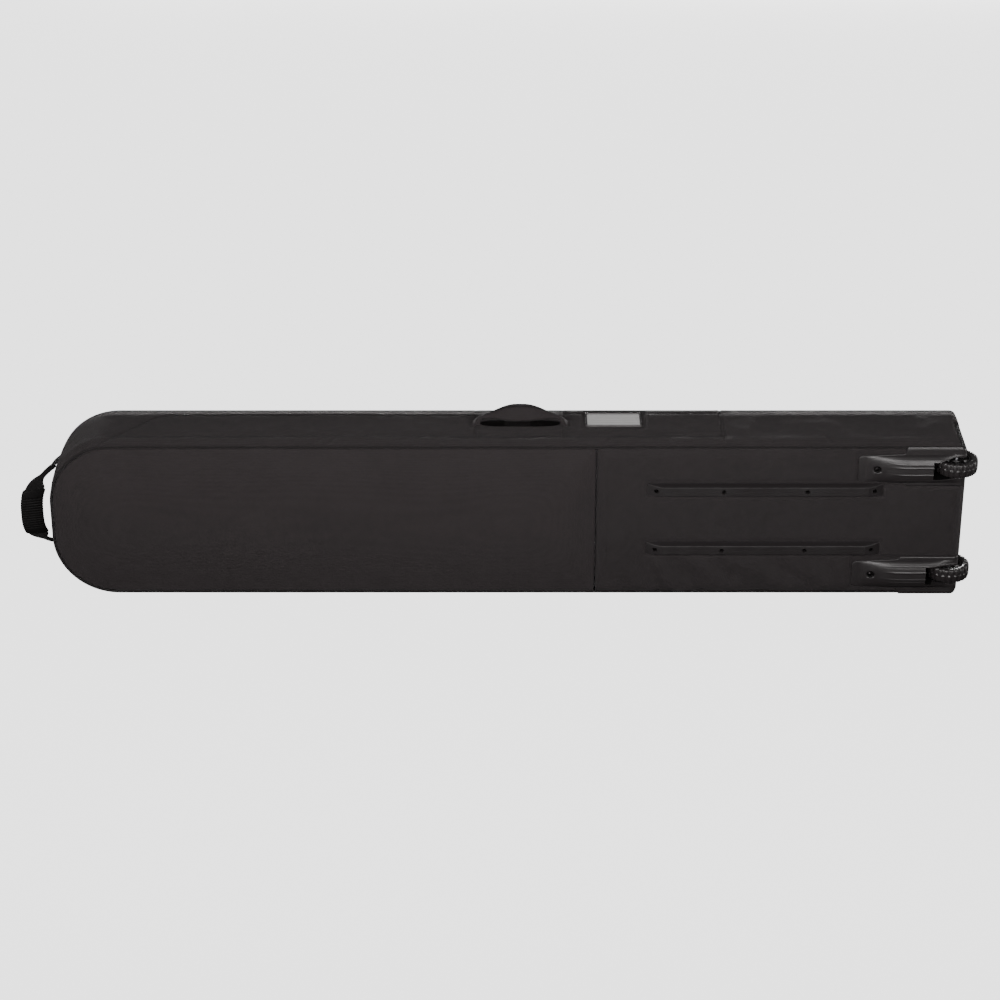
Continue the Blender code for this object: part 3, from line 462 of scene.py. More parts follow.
def cloth(
    name, color, pitch=0.0009, mottling=0.12, sheen=0.07,
    roughness=0.82, weave=0.00010, wrinkle=0.0004, lint=True,
):
    look = Look(name, color, roughness, Sheen_Weight=sheen, Sheen_Roughness=0.45, Specular_IOR_Level=0.22)
    look.shader.inputs["Sheen Tint"].default_value = (0.75, 0.70, 0.72, 1)
    threads = look.waves(pitch)
    slub = look.noise(900, 2, 0.6, (1, 1, 6))
    slub2 = look.noise(900, 2, 0.6, (6, 1, 1))
    cloud = look.noise(9, 4, 0.55)
    patch = look.noise(55, 3, 0.6)
    light = tuple(min(c * (1 + 2.6 * mottling) + 0.001, 1) for c in color)
    dark = tuple(c * (1 - 1.6 * mottling) for c in color)
    layers = [
        (look.ramp(cloud, 0.35, 0.7), dark),
        (look.ramp(patch, 0.42, 0.75, 0, 0.6), light),
        (look.ramp(threads, -2.2, 2.2, 0.0, 0.42), light),
        (look.ramp(look.math("ADD", slub, slub2), 1.02, 1.35, 0.0, 0.5), light),
    ]
    if lint:
        specks = look.voronoi(420)
        lint_color = tuple(min(2.6 * c + 0.008, 1) for c in color)
        layers.append((look.ramp(specks, 0.055, 0.03, 0.0, 0.35), lint_color))
    look.tint(layers)
    look.rough(look.ramp(patch, 0.3, 0.7, roughness - 0.07, roughness + 0.06))
    if wrinkle:
        look.bump(look.noise(26, 3, 0.5, distortion=0.6), wrinkle * 2.5, 0.55)
        look.bump(look.noise(110, 2, 0.5), wrinkle, 0.45)
    look.bump(threads, weave, 0.8)
    look.bump(look.math("ADD", slub, slub2), weave * 1.5, 0.5)
    return look.mat


def webbing_look(name, color, pitch=0.0016, roughness=0.62, axes="XYZ", spec=0.2):
    sheen = 0.15 * spec
    look = Look(name, color, roughness, Sheen_Weight=sheen, Sheen_Roughness=0.4, Specular_IOR_Level=spec)
    ribs = look.waves(pitch, axes)
    fuzz = look.noise(1500, 2, 0.6)
    wear = look.noise(24, 4, 0.6)
    light = tuple(min(c * 2.0 + 0.002, 1) for c in color)
    look.tint([
        (look.ramp(ribs, -1.5, 2.0, 0.0, 0.55), light),
        (look.ramp(wear, 0.5, 0.75, 0.0, 0.35), tuple(min(c * 2.6 + 0.002, 1) for c in color)),
        (look.ramp(fuzz, 0.62, 0.75, 0.0, 0.3), light),
    ])
    look.bump(ribs, 0.00028, 0.9)
    look.bump(fuzz, 0.00008, 0.5)
    return look.mat


def plastic(name, color, roughness=0.4, grain=0.00005, spec=0.5, scuffs=True):
    look = Look(name, color, roughness, Specular_IOR_Level=spec)
    fine = look.noise(2600, 2, 0.5)
    cloud = look.noise(38, 4, 0.6)
    scratch = look.noise(60, 3, 0.7, (1.5, 12, 12), 0.4)
    light = tuple(min(c * 2.0 + 0.003, 1) for c in color)
    layers = [(look.ramp(cloud, 0.35, 0.72, 0, 0.5), tuple(c * 0.72 for c in color))]
    if scuffs:
        layers.append((look.ramp(scratch, 0.64, 0.72, 0, 0.45), light))
    look.tint(layers)
    clouded = look.ramp(cloud, 0.3, 0.7, roughness - 0.06, roughness + 0.08)
    look.rough(look.math("ADD", clouded, look.ramp(scratch, 0.6, 0.75, 0, 0.12)))
    look.bump(fine, grain, 0.7)
    if scuffs:
        look.bump(scratch, grain * 1.6, 0.35)
    return look.mat


def metal(name, color, roughness=0.3, metallic=1.0):
    look = Look(name, color, roughness, Metallic=metallic)
    brushed = look.noise(500, 3, 0.6, (1, 1, 0.05))
    spots = look.noise(240, 4, 0.6)
    look.tint([(look.ramp(spots, 0.45, 0.75, 0, 0.4), tuple(c * 0.55 for c in color))])
    look.rough(look.ramp(brushed, 0.3, 0.7, roughness - 0.08, roughness + 0.12))
    look.bump(brushed, 0.00002, 0.4)
    return look.mat


def card_look():
    """Plain card with ruled lines to write on."""
    look = Look("card_paper", (0.50, 0.49, 0.485), 0.75, Specular_IOR_Level=0.3)
    split = look.node("ShaderNodeSeparateXYZ", {"Vector": look.coord})
    rule = look.math("SINE", look.math("MULTIPLY", split.outputs["Y"], 2 * math.pi / 0.0085))
    fibre = look.noise(700, 3, 0.6)
    stain = look.noise(40, 3, 0.6)
    look.tint([
        (look.ramp(stain, 0.4, 0.75, 0, 0.35), (0.36, 0.355, 0.35)),
        (look.ramp(fibre, 0.45, 0.7, 0, 0.25), (0.62, 0.615, 0.61)),
        (look.ramp(rule, 0.90, 0.98, 0, 0.75), (0.10, 0.10, 0.10)),
    ])
    look.bump(fibre, 0.00004, 0.5)
    return look.mat


def window_look():
    look = Look("window_vinyl", (0.85, 0.86, 0.86), 0.10, Specular_IOR_Level=0.5)
    look.shader.inputs["Alpha"].default_value = 0.16
    haze = look.noise(60, 3, 0.6)
    look.rough(look.ramp(haze, 0.3, 0.7, 0.07, 0.20))
    look.bump(look.noise(45, 2, 0.5), 0.0003, 0.5)
    return look.mat


SHELL = (0.0150, 0.0124, 0.0129)
M = {
    "shell": cloth("shell_cloth", SHELL),
    "base": cloth(
        "base_cloth", (0.0132, 0.0110, 0.0115), pitch=0.0007, sheen=0.05, wrinkle=0.0006, roughness=0.70
    ),
    "lining": cloth("lining_cloth", (0.085, 0.083, 0.086), pitch=0.0006, sheen=0.15, lint=False),
    "webbing": webbing_look("webbing", (0.0046, 0.0040, 0.0041)),
    # painted shade: the strip under the side handle is near-black and barely shiny to stand for the shade
    # under the handle, darkest at the ends where the gap is widest
    "strip": webbing_look("painted_shade_strip_webbing", (0.0014, 0.0011, 0.0012), spec=0.03),
    "painted_shade_strip_middle": webbing_look("painted_shade_strip_middle", (0.0030, 0.0025, 0.0026), spec=0.06),
    "binding": webbing_look("binding", (0.0085, 0.0072, 0.0075), 0.0011),
    "thread": webbing_look("thread", (0.0125, 0.0105, 0.0108), 0.0007),
    "zip_tape": webbing_look("zip_tape", (0.0060, 0.0054, 0.0057), 0.0009),
    "zip_teeth": plastic("zip_teeth", (0.010, 0.010, 0.0105), 0.35, 0.00002, scuffs=False),
    "zip_metal": metal("zip_metal", (0.075, 0.075, 0.078), 0.34, 0.9),
    "moulded": plastic("moulded_plastic", (0.0125, 0.0108, 0.0112), 0.44),
    # painted shade: near-black, dull plastic for the wells, the screw pockets and the slot's rims, darker
    # than the moulding to stand for the shade in these recesses
    "well": plastic("well_painted_shade_plastic", (0.0016, 0.0013, 0.0013), 0.75, spec=0.12, scuffs=False),
    "rail": plastic("rail_plastic", (0.0120, 0.0104, 0.0108), 0.42),
    "board": plastic("board_plastic", (0.012, 0.012, 0.012), 0.5),
    "tail": plastic("tail_plastic", (0.0095, 0.0082, 0.0085), 0.60, spec=0.25),
    "tyre": plastic("tyre_rubber", (0.0130, 0.0112, 0.0116), 0.36, 0.00010, 0.5),
    "hub": plastic("hub_plastic", (0.0050, 0.0045, 0.0047), 0.34, scuffs=False),
    "steel": metal("screw_steel", (0.022, 0.020, 0.0205), 0.40),
    "bright_steel": metal("bright_steel", (0.30, 0.30, 0.31), 0.30),
    "vinyl_edge": plastic("vinyl_edge", (0.040, 0.037, 0.038), 0.50, 0.00003),
    "card": card_look(),
    "window": window_look(),
    "grip": plastic("grip_rubber", (0.0014, 0.0011, 0.0011), 0.66, 0.00014, 0.16),
}


# ---------------------------------------------------------------- the walls round the shell

CLOTH_THICK = 0.0014
LINING_THICK = 0.0008


def over_wells(centre, x_from, half, y_to=math.inf):
    """Which of these face centres lie over one of the wheels' wells."""
    found = np.zeros(len(centre), bool)
    for z in WHEEL_ZS.values():
        level = np.abs(centre[:, 2] - z) < half
        found |= level & (centre[:, 0] > x_from) & (centre[:, 1] < y_to)
    return found


def wall_pieces():
    """The cloth of the walls, one piece right round the outline, rolled over at the front edge."""
    path = even(outline(0.0, steps=40), 0.0036)
    n = normals_of(path)
    count = len(path)
    depth_rows = list(np.linspace(0.0045, 0.024, 7)) + list(np.linspace(0.028, 0.132, 30))
    length = FRONT - BACK
    depth_rows += list(np.linspace(0.135, length - FRONT_ROLL, 9))
    roll = [math.radians(a) for a in (15, 30, 45, 60, 75, 90)]
    rows, drops = list(depth_rows), [0.0] * len(depth_rows)
    for a in roll:
        rows.append(length - FRONT_ROLL + FRONT_ROLL * math.sin(a))
        drops.append(FRONT_ROLL * (1 - math.cos(a)))
    rows, drops = np.array(rows), np.array(drops)
    v, s = np.meshgrid(rows, np.arange(count), indexing="ij")
    px, pz = path[s.astype(int), 0], path[s.astype(int), 1]
    nx, nz = n[s.astype(int), 0], n[s.astype(int), 1]
    drop = np.repeat(drops[:, None], count, 1)
    flat = np.stack([px, BACK + v, pz], -1).reshape(-1, 3)
    up = np.clip(nz, 0, 1).reshape(-1)
    down = np.clip(-nz, 0, 1).reshape(-1)
    nose = np.clip(-nx, 0, 1).reshape(-1)
    tail = smooth((px.reshape(-1) - (TAIL - TAIL_R - 0.001)) / 0.004)
    depth = v.reshape(-1)
    across = smooth(np.minimum(depth - 0.004, length - depth) / 0.035)

    out = -0.0016 * np.exp(-((depth - 0.0045) / 0.0030) ** 2)
    lumps = 0.0016 * noise(flat, 0.16, 3) + 0.0008 * noise(flat, 0.06, 5) + 0.00035 * noise(flat, 0.022, 8)
    out = out + across * (0.0022 * up + 0.0018 * nose + lumps * (up + nose) ** 0.5)

    # the sewn lines of the upper side, and the strip near the back that is pulled in
    on_top = up > 0.6
    top = np.stack([flat[:, 0], flat[:, 1]], 1)
    shape = sum(seam(top, line, seed=11 + i, **kind) for i, (line, kind) in enumerate(TOP_SEAMS))
    crease_d, _ = far_from(top, TOP_CREASE)
    shape += -0.0021 * np.exp(-((crease_d / 0.0085) ** 2))
    ripple = noise(np.stack([flat[:, 0], flat[:, 0] * 0, flat[:, 0] * 0], 1), 0.045, 21)
    near_back = np.exp(-(((depth - 0.026) / 0.016) ** 2))
    shape += 0.0009 * near_back * ripple + 0.0011 * near_back
    for i, (tuck, lean) in enumerate(TUCKS):
        line = NOSE + tuck + lean * (depth - 0.02)
        shape += -0.0013 * np.exp(-(((flat[:, 0] - line) / 0.0035) ** 2)) * near_back
    out = out + np.where(on_top, shape, 0) * smooth((up - 0.6) / 0.3)
    # flat under the card pocket and the handle's anchor strip
    for low, high in (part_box("card_frame"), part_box("side_handle_patch")):
        inside = np.minimum.reduce(
            [flat[:, 0] - low.x, high.x - flat[:, 0], flat[:, 1] - low.y, high.y - flat[:, 1]]
        )
        held = smooth((inside + 0.014) / 0.012) * smooth((up - 0.9) / 0.05)
        out = out * (1 - held) + np.minimum(out, -0.0003) * held

    # the round nose: a little slack cloth gathered round the curve
    turn = np.arctan2(pz.reshape(-1) - MID_Z, px.reshape(-1) - (NOSE + NOSE_R))
    gather = np.sin(turn * 46 + 3 * noise(flat, 0.05, 31)) * np.exp(-((depth - 0.012) / 0.012) ** 2)
    out = out + 0.00045 * gather * smooth((nose - 0.1) / 0.3)

    # under the moulded tail plate, and flat where it stands
    covered = tail * smooth((PLATE_Y - BACK + 0.002 - depth) / 0.003)
    out = out * (1 - covered) - 0.0034 * covered
    out = np.where(down > 0.3, np.minimum(out, -0.0001 - 0.0004 * down) - 0.0002 * down, out)
    out = np.where(down > 0.95, -0.0004 - 0.0012 * np.exp(-((depth - 0.0045) / 0.003) ** 2), out)

    move = out - drop.reshape(-1)
    verts = flat.copy()
    verts[:, 0] += nx.reshape(-1) * move
    verts[:, 2] += nz.reshape(-1) * move
    verts[:, 2] = np.maximum(verts[:, 2], 0.0002)
    faces = grid_faces(len(rows), count, wrap=True, flip=True)
    over_well = over_wells(verts[faces].mean(1), TAIL - 0.03, 0.023, WELL_DEPTH + 0.003)
    made = mesh_object("wall_cloth", verts, faces[~over_well], M["shell"])
    solidify(made, CLOTH_THICK)
    place(made, "shell", ("upper_sidewall", "lower_sidewall", "nose_wall", "tail_wall"))


# Sewn lines on the upper side, as (x, y)
HANDLE_SEAMS = (NOSE + 0.830, NOSE + 0.9995)
LAST_SEAM = NOSE + 1.3105
STRIP_Y = BACK + 0.138
STRIP_Y2 = BACK + 0.1505
NOSE_STRIP = [
    (NOSE + 0.2288, STRIP_Y),
    (NOSE + 0.2005, STRIP_Y - 0.010),
    (NOSE + 0.1055, BACK + 0.012),
    (NOSE + 0.0955, BACK + 0.003),
]
TOP_SEAMS = [
    ([(HANDLE_SEAMS[0], STRIP_Y)] + NOSE_STRIP, {"depth": 0.0015, "width": 0.0019}),
    ([(LAST_SEAM, STRIP_Y2), (HANDLE_SEAMS[1], STRIP_Y2)], {"depth": 0.0014, "width": 0.0018}),
    ([(HANDLE_SEAMS[0], BACK + 0.004), (HANDLE_SEAMS[0], FRONT - 0.004)], {"depth": 0.0013}),
    ([(HANDLE_SEAMS[1], BACK + 0.004), (HANDLE_SEAMS[1], FRONT - 0.004)], {"depth": 0.0013}),
    ([(LAST_SEAM, BACK + 0.004), (LAST_SEAM, FRONT - 0.002)], {"depth": 0.0014}),
]
TOP_CREASE = [(NOSE + 0.1155, BACK + 0.048), (NOSE + 1.3065, BACK + 0.050)]

TUCKS = (
    (0.5235, 0.6), (0.5505, 0.5), (0.7655, -0.4), (1.084, 0.5), (1.2105, -0.5), (1.4025, 0.4), (1.514, -0.3)
)

wall_pieces()


# ---------------------------------------------------------------- padded panels


def slab(name, points, y0, y1, mats):
    """A closed plate with this (x, z) outline."""
    n = len(points)
    mesh = bpy.data.meshes.new(name)
    shape = bmesh.new()
    low = [shape.verts.new((x, y0, z)) for x, z in points]
    high = [shape.verts.new((x, y1, z)) for x, z in points]
    shape.faces.new(low)
    shape.faces.new(high[::-1])
    for i in range(n):
        j = (i + 1) % n
        shape.faces.new((low[j], low[i], high[i], high[j]))
    bmesh.ops.recalc_face_normals(shape, faces=shape.faces)
    shape.to_mesh(mesh)
    shape.free()
    for m in mats:
        mesh.materials.append(m)
    made = bpy.data.objects.new(name, mesh)
    bpy.context.scene.collection.objects.link(made)
    return made


def remesh(obj, size):
    m = obj.modifiers.new("remesh", "REMESH")
    m.mode = "VOXEL"
    m.voxel_size = size
    apply_modifiers(obj)


def inflate(obj, pressure, cap, frames=18, pins=None):
    """Cloth under pressure, held at pinned points. No point ends more than cap from where it began."""
    scene = bpy.context.scene
    start = coords(obj)
    if pins is not None:
        group = obj.vertex_groups.new(name="sewn")
        group.add([int(i) for i in np.nonzero(pins)[0]], 1.0, "REPLACE")
    m = obj.modifiers.new("cloth", "CLOTH")
    s = m.settings
    s.quality = 4
    s.mass = 0.3
    s.tension_stiffness = s.compression_stiffness = 18
    s.shear_stiffness = 8
    s.bending_stiffness = 0.6
    s.use_pressure = True
    s.uniform_pressure_force = pressure
    s.effector_weights.gravity = 0
    if pins is not None:
        s.vertex_group_mass = "sewn"
    m.collision_settings.use_collision = False
    m.point_cache.frame_start = 1
    m.point_cache.frame_end = frames
    for f in range(1, frames + 1):
        scene.frame_set(f)
    graph = bpy.context.evaluated_depsgraph_get()
    mesh = obj.evaluated_get(graph).to_mesh()
    co = np.zeros(len(mesh.vertices) * 3)
    mesh.vertices.foreach_get("co", co)
    obj.evaluated_get(graph).to_mesh_clear()
    obj.modifiers.remove(m)
    scene.frame_set(1)
    co = co.reshape(-1, 3)
    if not np.isfinite(co).all() or len(co) != len(start):
        return
    move = co - start
    size = np.linalg.norm(move, axis=1)
    move *= np.minimum(1, cap / np.maximum(size, 1e-9))[:, None]
    set_coords(obj, start + move)
    if pins is not None:
        obj.vertex_groups.clear()


def edge_distance(co, path):
    return far_from(co[:, [0, 2]], path, closed=True)[0]


def pad(
    name, path, y_out, y_in, outward, crown, mats, voxel,
    body, replaces, cap, relief=None, pressure=4.0,
):
    """A foam pad sewn round its edge: outward is the Y direction of its outer face."""
    y0, y1 = sorted((y_out, y_in))
    made = slab(name, path, y0, y1, mats)
    remesh(made, voxel)
    co = coords(made)
    away = edge_distance(co, path)
    middle = (y0 + y1) / 2
    side = (co[:, 1] - middle) * outward
    outer = side > (y1 - y0) * 0.15
    pins = away < 0.004
    lift = crown * (1 - np.exp(-away / 0.020))
    shift = np.where(outer, lift, 0) * outward
    lumps = 0.0011 * noise(co, 0.17, 41) + 0.0007 * noise(co, 0.075, 43)
    shift += np.where(outer, lumps * smooth(away / 0.03), 0) * outward
    co[:, 1] += shift
    set_coords(made, co)
    inflate(made, pressure, cap, pins=pins)
    co = coords(made)
    away = edge_distance(co, path)
    if relief is not None:
        side = (co[:, 1] - middle) * outward
        co[:, 1] += np.where(side > 0, relief(co, away), 0) * outward
    inner = (co[:, 1] - y_in) * outward < 0
    co[:, 1] = np.where(inner, y_in, co[:, 1])
    set_coords(made, co)
    sub = made.modifiers.new("fine", "SUBSURF")
    sub.levels = sub.render_levels = 1
    apply_modifiers(made)
    made.data.shade_smooth()
    if len(mats) > 1:
        inward = np.zeros(len(made.data.polygons) * 3)
        made.data.polygons.foreach_get("normal", inward)
        facing = inward.reshape(-1, 3)[:, 1] * outward
        made.data.polygons.foreach_set("material_index", (facing < -0.5).astype(np.int32))
    place(made, body, replaces)
    return made


def back_outline():
    x1 = SEAM - 0.0012
    n = NOSE_R - INSET
    points = arc(NOSE + NOSE_R, NOSE_R, n, 180, 270, 24) + [(x1, INSET), (x1, TOP - INSET)]
    return points + arc(NOSE + NOSE_R, TOP - NOSE_R, n, 90, 180, 24)


def back_relief(co, away):
    p = co[:, [0, 2]]
    edge = np.stack([p[:, 0], p[:, 0] * 0, p[:, 1]], 1)
    ripple = 0.00040 * np.sin(2 * math.pi * (p[:, 0] + p[:, 1]) / 0.019 + 3 * noise(edge, 0.06, 51))
    out = ripple * np.exp(-(((away - 0.010) / 0.009) ** 2)) * (0.5 + 0.5 * noise(edge, 0.08, 52))
    out += 0.0012 * noise(co, 0.26, 53, (0.6, 1, 1.3))
    out += 0.0042 * (1 - ((co[:, 2] - MID_Z) / MID_Z) ** 2) * smooth(away / 0.05)
    return out


pad(
    "back_pad", back_outline(), BACK + 0.0004, BACK + 0.0110, -1, 0.0052, [M["shell"], M["lining"]], 0.0055,
    "shell", ("back_panel", "back_foam"), 0.007, back_relief,
)


def lid_relief(co, away):
    return 0.0012 * noise(co, 0.22, 61, (0.6, 1, 1)) + 0.0005 * noise(co, 0.06, 62)


pad(
    "lid_pad", zip_path(ZIP_INSET + 0.0058, FOLD - 0.0006), FRONT - 0.0016, FRONT - 0.0112, 1, 0.0030,
    [M["shell"], M["lining"]], 0.0058, "lid", ("lid_panel", "lid_foam"), 0.006, lid_relief,
)


# ---------------------------------------------------------------- the wheeled end's cloth


def base_piece():
    """The plain cloth of the wheeled half of the back, with its soft folds."""
    x0, x1 = SEAM + 0.0003, TAIL - 0.0012
    z0, z1 = INSET, TOP - INSET
    step = 0.0030
    cols = int((x1 - x0) / step)
    rows = int((z1 - z0) / step)
    xs = np.linspace(x0, x1, cols + 1)
    r = TAIL_R - 0.0012
    zs = []
    for x in xs:
        over = max(x - (x1 - r), 0)
        cut = r - math.sqrt(max(r * r - over * over, 0))
        cut = max(cut + 0.0012 - INSET, 0)
        zs.append(np.linspace(z0 + cut, z1 - cut, rows + 1))
    x = np.repeat(xs[:, None], rows + 1, 1)
    z = np.array(zs)
    flat = np.stack([x.ravel(), np.full(x.size, BACK), z.ravel()], 1)
    away = np.minimum.reduce([flat[:, 0] - x0, x1 - flat[:, 0], flat[:, 2] - z0, z1 - flat[:, 2]])
    sides = np.minimum(flat[:, 2] - z0, z1 - flat[:, 2])
    at_seam = flat[:, 0] - x0
    out = -0.0026 * np.exp(-sides / 0.0030) - 0.0022 * np.exp(-((at_seam / 0.003) ** 2))
    body = smooth(away / 0.02)
    out += body * (0.0012 * noise(flat, 0.11, 71) + 0.0012)
    out += 0.0026 * body * (1 - ((flat[:, 2] - MID_Z) / MID_Z) ** 2)
    # soft folds that run down and back from the rails, and hang between the housings
    u = (flat[:, 0] * 0.80 + flat[:, 2] * 0.60)
    low = smooth((0.105 - flat[:, 2]) / 0.05) * smooth((flat[:, 0] - (SEAM + 0.03)) / 0.08)
    low *= smooth((HOUSINGS["lower"][0].x - 0.01 - flat[:, 0]) / 0.06)
    bend = noise(flat, 0.09, 73) * 0.022
    out += 0.0021 * low * np.sin(2 * math.pi * (u + bend) / 0.072)
    fine = noise(np.stack([u + bend, flat[:, 0] * 0, flat[:, 2] * 0.4], 1), 0.021, 74)
    out += 0.0011 * low * fine
    u2 = flat[:, 0] * 0.85 - flat[:, 2] * 0.55
    mid = smooth((flat[:, 0] - (SEAM + 0.02)) / 0.06)
    out += 0.0007 * mid * noise(np.stack([u2, flat[:, 0] * 0, flat[:, 2] * 0.35], 1), 0.034, 75) * body
    # stays down under the rails and housings
    for low_c, high_c in RAILS.values():
        inside = np.minimum.reduce([
            flat[:, 0] - (low_c.x - 0.003), (high_c.x + 0.003) - flat[:, 0],
            flat[:, 2] - (low_c.z - 0.003), (high_c.z + 0.003) - flat[:, 2]])
        hold = smooth(inside / 0.004 + 0.6)
        out = out * (1 - hold) + hold * np.minimum(out, -0.0002)
        ring = np.exp(-((np.maximum(-inside, 0) / 0.010) ** 2)) * (1 - hold)
        out -= 0.0007 * ring
    for s, (low_c, high_c) in HOUSINGS.items():
        zw = WHEEL_ZS[s]
        lo, hi = zw - HOUSING_HALF, zw + HOUSING_HALF
        lo = low_c.z if s == "lower" else lo
        hi = high_c.z if s == "upper" else hi
        inside = np.minimum.reduce(
            [flat[:, 0] - (low_c.x - 0.003), flat[:, 2] - (lo - 0.003), (hi + 0.003) - flat[:, 2]]
        )
        hold = smooth(inside / 0.005 + 0.5)
        out = out * (1 - hold) + hold * np.minimum(out, -0.0004)
    verts = flat.copy()
    turn = np.clip(flat[:, 0] - (x1 - TAIL_ROLL), 0, TAIL_ROLL)
    out = out * (1 - smooth(turn / TAIL_ROLL)) - (TAIL_ROLL - np.sqrt(TAIL_ROLL**2 - (turn * 0.98) ** 2))
    verts[:, 1] -= out
    faces = grid_faces(cols + 1, rows + 1)
    over_well = over_wells(verts[faces].mean(1), WELL_X - 0.003, 0.0225)
    made = mesh_object("base_cloth", verts, faces[~over_well], M["base"])
    solidify(made, CLOTH_THICK)
    place(made, "shell", ("base_panel",))


base_piece()


# ---------------------------------------------------------------- the front face round the lid


def front_ring():
    """The cloth between the shell's front edge and the zip, with the strip above the fold."""
    inner = even(zip_path(ZIP_INSET - 0.0056, FOLD + 0.0004), 0.004, closed=True)
    outer_path = even(outline(FRONT_ROLL, steps=40), 0.004)
    n = normals_of(inner)
    count = len(inner)
    # match each inner point to the outer outline by looking outward from it
    outer = []
    run = np.array(outer_path)
    for p, m in zip(inner, n):
        d = run - p
        along = d @ m
        side = np.abs(d @ np.array([-m[1], m[0]]))
        score = np.where(along > 0, side + 0.15 * along, 1e9)
        outer.append(run[int(np.argmin(score))])
    outer = np.array(outer)
    for _ in range(3):
        outer = (np.roll(outer, 1, 0) + outer * 2 + np.roll(outer, -1, 0)) / 4
    # keep the smoothed points on the outline
    snapped = []
    for p in outer:
        snapped.append(run[int(np.argmin(np.hypot(*(run - p).T)))])
    outer = np.array(snapped)
    rows = 9
    t = np.linspace(0, 1, rows)
    verts = []
    for k in t:
        p = inner * (1 - k) + outer * k
        verts.append(np.stack([p[:, 0], np.full(count, FRONT), p[:, 1]], 1))
    verts = np.concatenate(verts)
    tt = np.repeat(t, count)
    puff = 0.0013 * np.sin(math.pi * np.clip(tt, 0, 1)) ** 0.6
    out = puff + 0.0006 * noise(verts, 0.07, 81) * np.sin(math.pi * tt)
    out -= 0.0012 * np.exp(-((tt / 0.10) ** 2)) + 0.0006 * np.exp(-(((1 - tt) / 0.08) ** 2))
    verts[:, 1] += out - 0.0004
    made = mesh_object("front_cloth", verts, grid_faces(rows, count, wrap=True), M["shell"])
    solidify(made, CLOTH_THICK)
    place(made, "shell", ("front_rim",))


front_ring()


# ---------------------------------------------------------------- lining


def lining():
    """The lining of the walls, and the compartment's floor."""
    path = even(outline(0.0, steps=30), 0.006)
    n = normals_of(path)
    count = len(path)
    straight = smooth((path[:, 0] - (NOSE + NOSE_R)) / 0.02) * smooth((TAIL - 0.09 - path[:, 0]) / 0.02)
    inset = 0.0050 + 0.0068 * straight + 0.0024 * smooth((path[:, 0] - (TAIL - 0.05)) / 0.02)
    rows = np.linspace(0.0072, FRONT - BACK - 0.0042, 26)
    verts = []
    for d in rows:
        move = inset
        if d >= 0.014:
            move = inset - 0.0012 * straight * math.sin(math.pi * (d - 0.014) / (rows[-1] - 0.014))
        at = path - n * np.reshape(move, (-1, 1))
        verts.append(np.stack([at[:, 0], np.full(count, BACK + d), at[:, 1]], 1))
    verts = np.concatenate(verts)
    verts += 0.0007 * noise(verts, 0.05, 91)[:, None] * np.array([0.2, 0, 0.6])
    faces = grid_faces(len(rows), count, wrap=True)
    over_well = over_wells(verts[faces].mean(1), WELL_X - 0.004, 0.0240, WELL_DEPTH + 0.004)
    walls = mesh_object("lining_walls", verts, faces[~over_well], M["lining"])
    solidify(walls, LINING_THICK)
    place(walls, "shell", ("upper_foam", "lower_foam"))

    # the floor of the compartment, over the foam and then over the stiff sheet
    x0, x1 = SEAM - 0.002, TAIL - 0.0095
    cols, rws = 150, 60
    xs = np.linspace(x0, x1, cols + 1)
    zs = np.linspace(0.0135, TOP - 0.0135, rws + 1)
    x, z = np.meshgrid(xs, zs, indexing="ij")
    y = BACK + 0.0120 - 0.0042 * smooth((x - (SEAM + 0.022)) / 0.02)
    verts = np.stack([x.ravel(), y.ravel(), z.ravel()], 1)
    verts[:, 1] += 0.0006 * noise(verts, 0.06, 93)
    faces = grid_faces(cols + 1, rws + 1, flip=True)
    over_well = over_wells(verts[faces].mean(1), WELL_X - 0.004, 0.0240)
    floor = mesh_object("lining_base", verts, faces[~over_well], M["lining"])
    solidify(floor, LINING_THICK)
    place(floor, "shell")


lining()


# ---------------------------------------------------------------- piping and stitching


def line3(points, y):
    return [(x, y, z) for x, z in points]


def piping():
    """The cord round the padded half of the back."""
    r = 0.0023
    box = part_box("back_piping")
    end = box[1].x + 0.010
    path = [(end, TOP - r - 0.0004)]
    path += arc(NOSE + NOSE_R, TOP - NOSE_R, NOSE_R - r - 0.0004, 90, 180, 40)
    path += arc(NOSE + NOSE_R, NOSE_R, NOSE_R - r - 0.0004, 180, 270, 40)
    path += [(end, r + 0.0004)]
    path = even(path, 0.006, closed=False)
    made = tube("back_piping_cord", line3(path, BACK + r), r, M["binding"], ring=10)
    place(made, "shell", ("back_piping",))


piping()


def top_y(x, y):
    """Where the upper side's cloth lies, near enough for thread."""
    depth = y - BACK
    length = FRONT - BACK
    across = float(smooth(np.array(min(depth - 0.004, length - depth) / 0.035)))
    p = np.array([[x, y, TOP]])
    lumps = 0.0016 * noise(p, 0.16, 3) + 0.0008 * noise(p, 0.06, 5) + 0.00035 * noise(p, 0.022, 8)
    return TOP + across * (0.0022 + float(lumps[0]))


def thread_lines():
    lines = []
    for path, _ in TOP_SEAMS:
        p = even(path, 0.01, closed=False)
        n = normals_of(p, closed=False)
        for side in (-1, 1):
            q = p + n * 0.0034 * side
            row = [(x, y, top_y(x, y) - 0.00005) for x, y in q if BACK + 0.006 < y < FRONT - 0.006]
            lines.append((row, (0, 0, 1)))
    return [l for l in lines if len(l[0]) > 1]


stitches("top_stitching", thread_lines(), M["thread"], "shell")


# ---------------------------------------------------------------- moulded wheel housings


def weld(obj, dist=1e-5):
    shape = bmesh.new()
    shape.from_mesh(obj.data)
    bmesh.ops.remove_doubles(shape, verts=shape.verts, dist=dist)
    bmesh.ops.recalc_face_normals(shape, faces=shape.faces)
    shape.to_mesh(obj.data)
    shape.free()


def sheet_faces(base, rows, cols):
    return [tuple(int(i) + base for i in f) for f in grid_faces(rows, cols)]


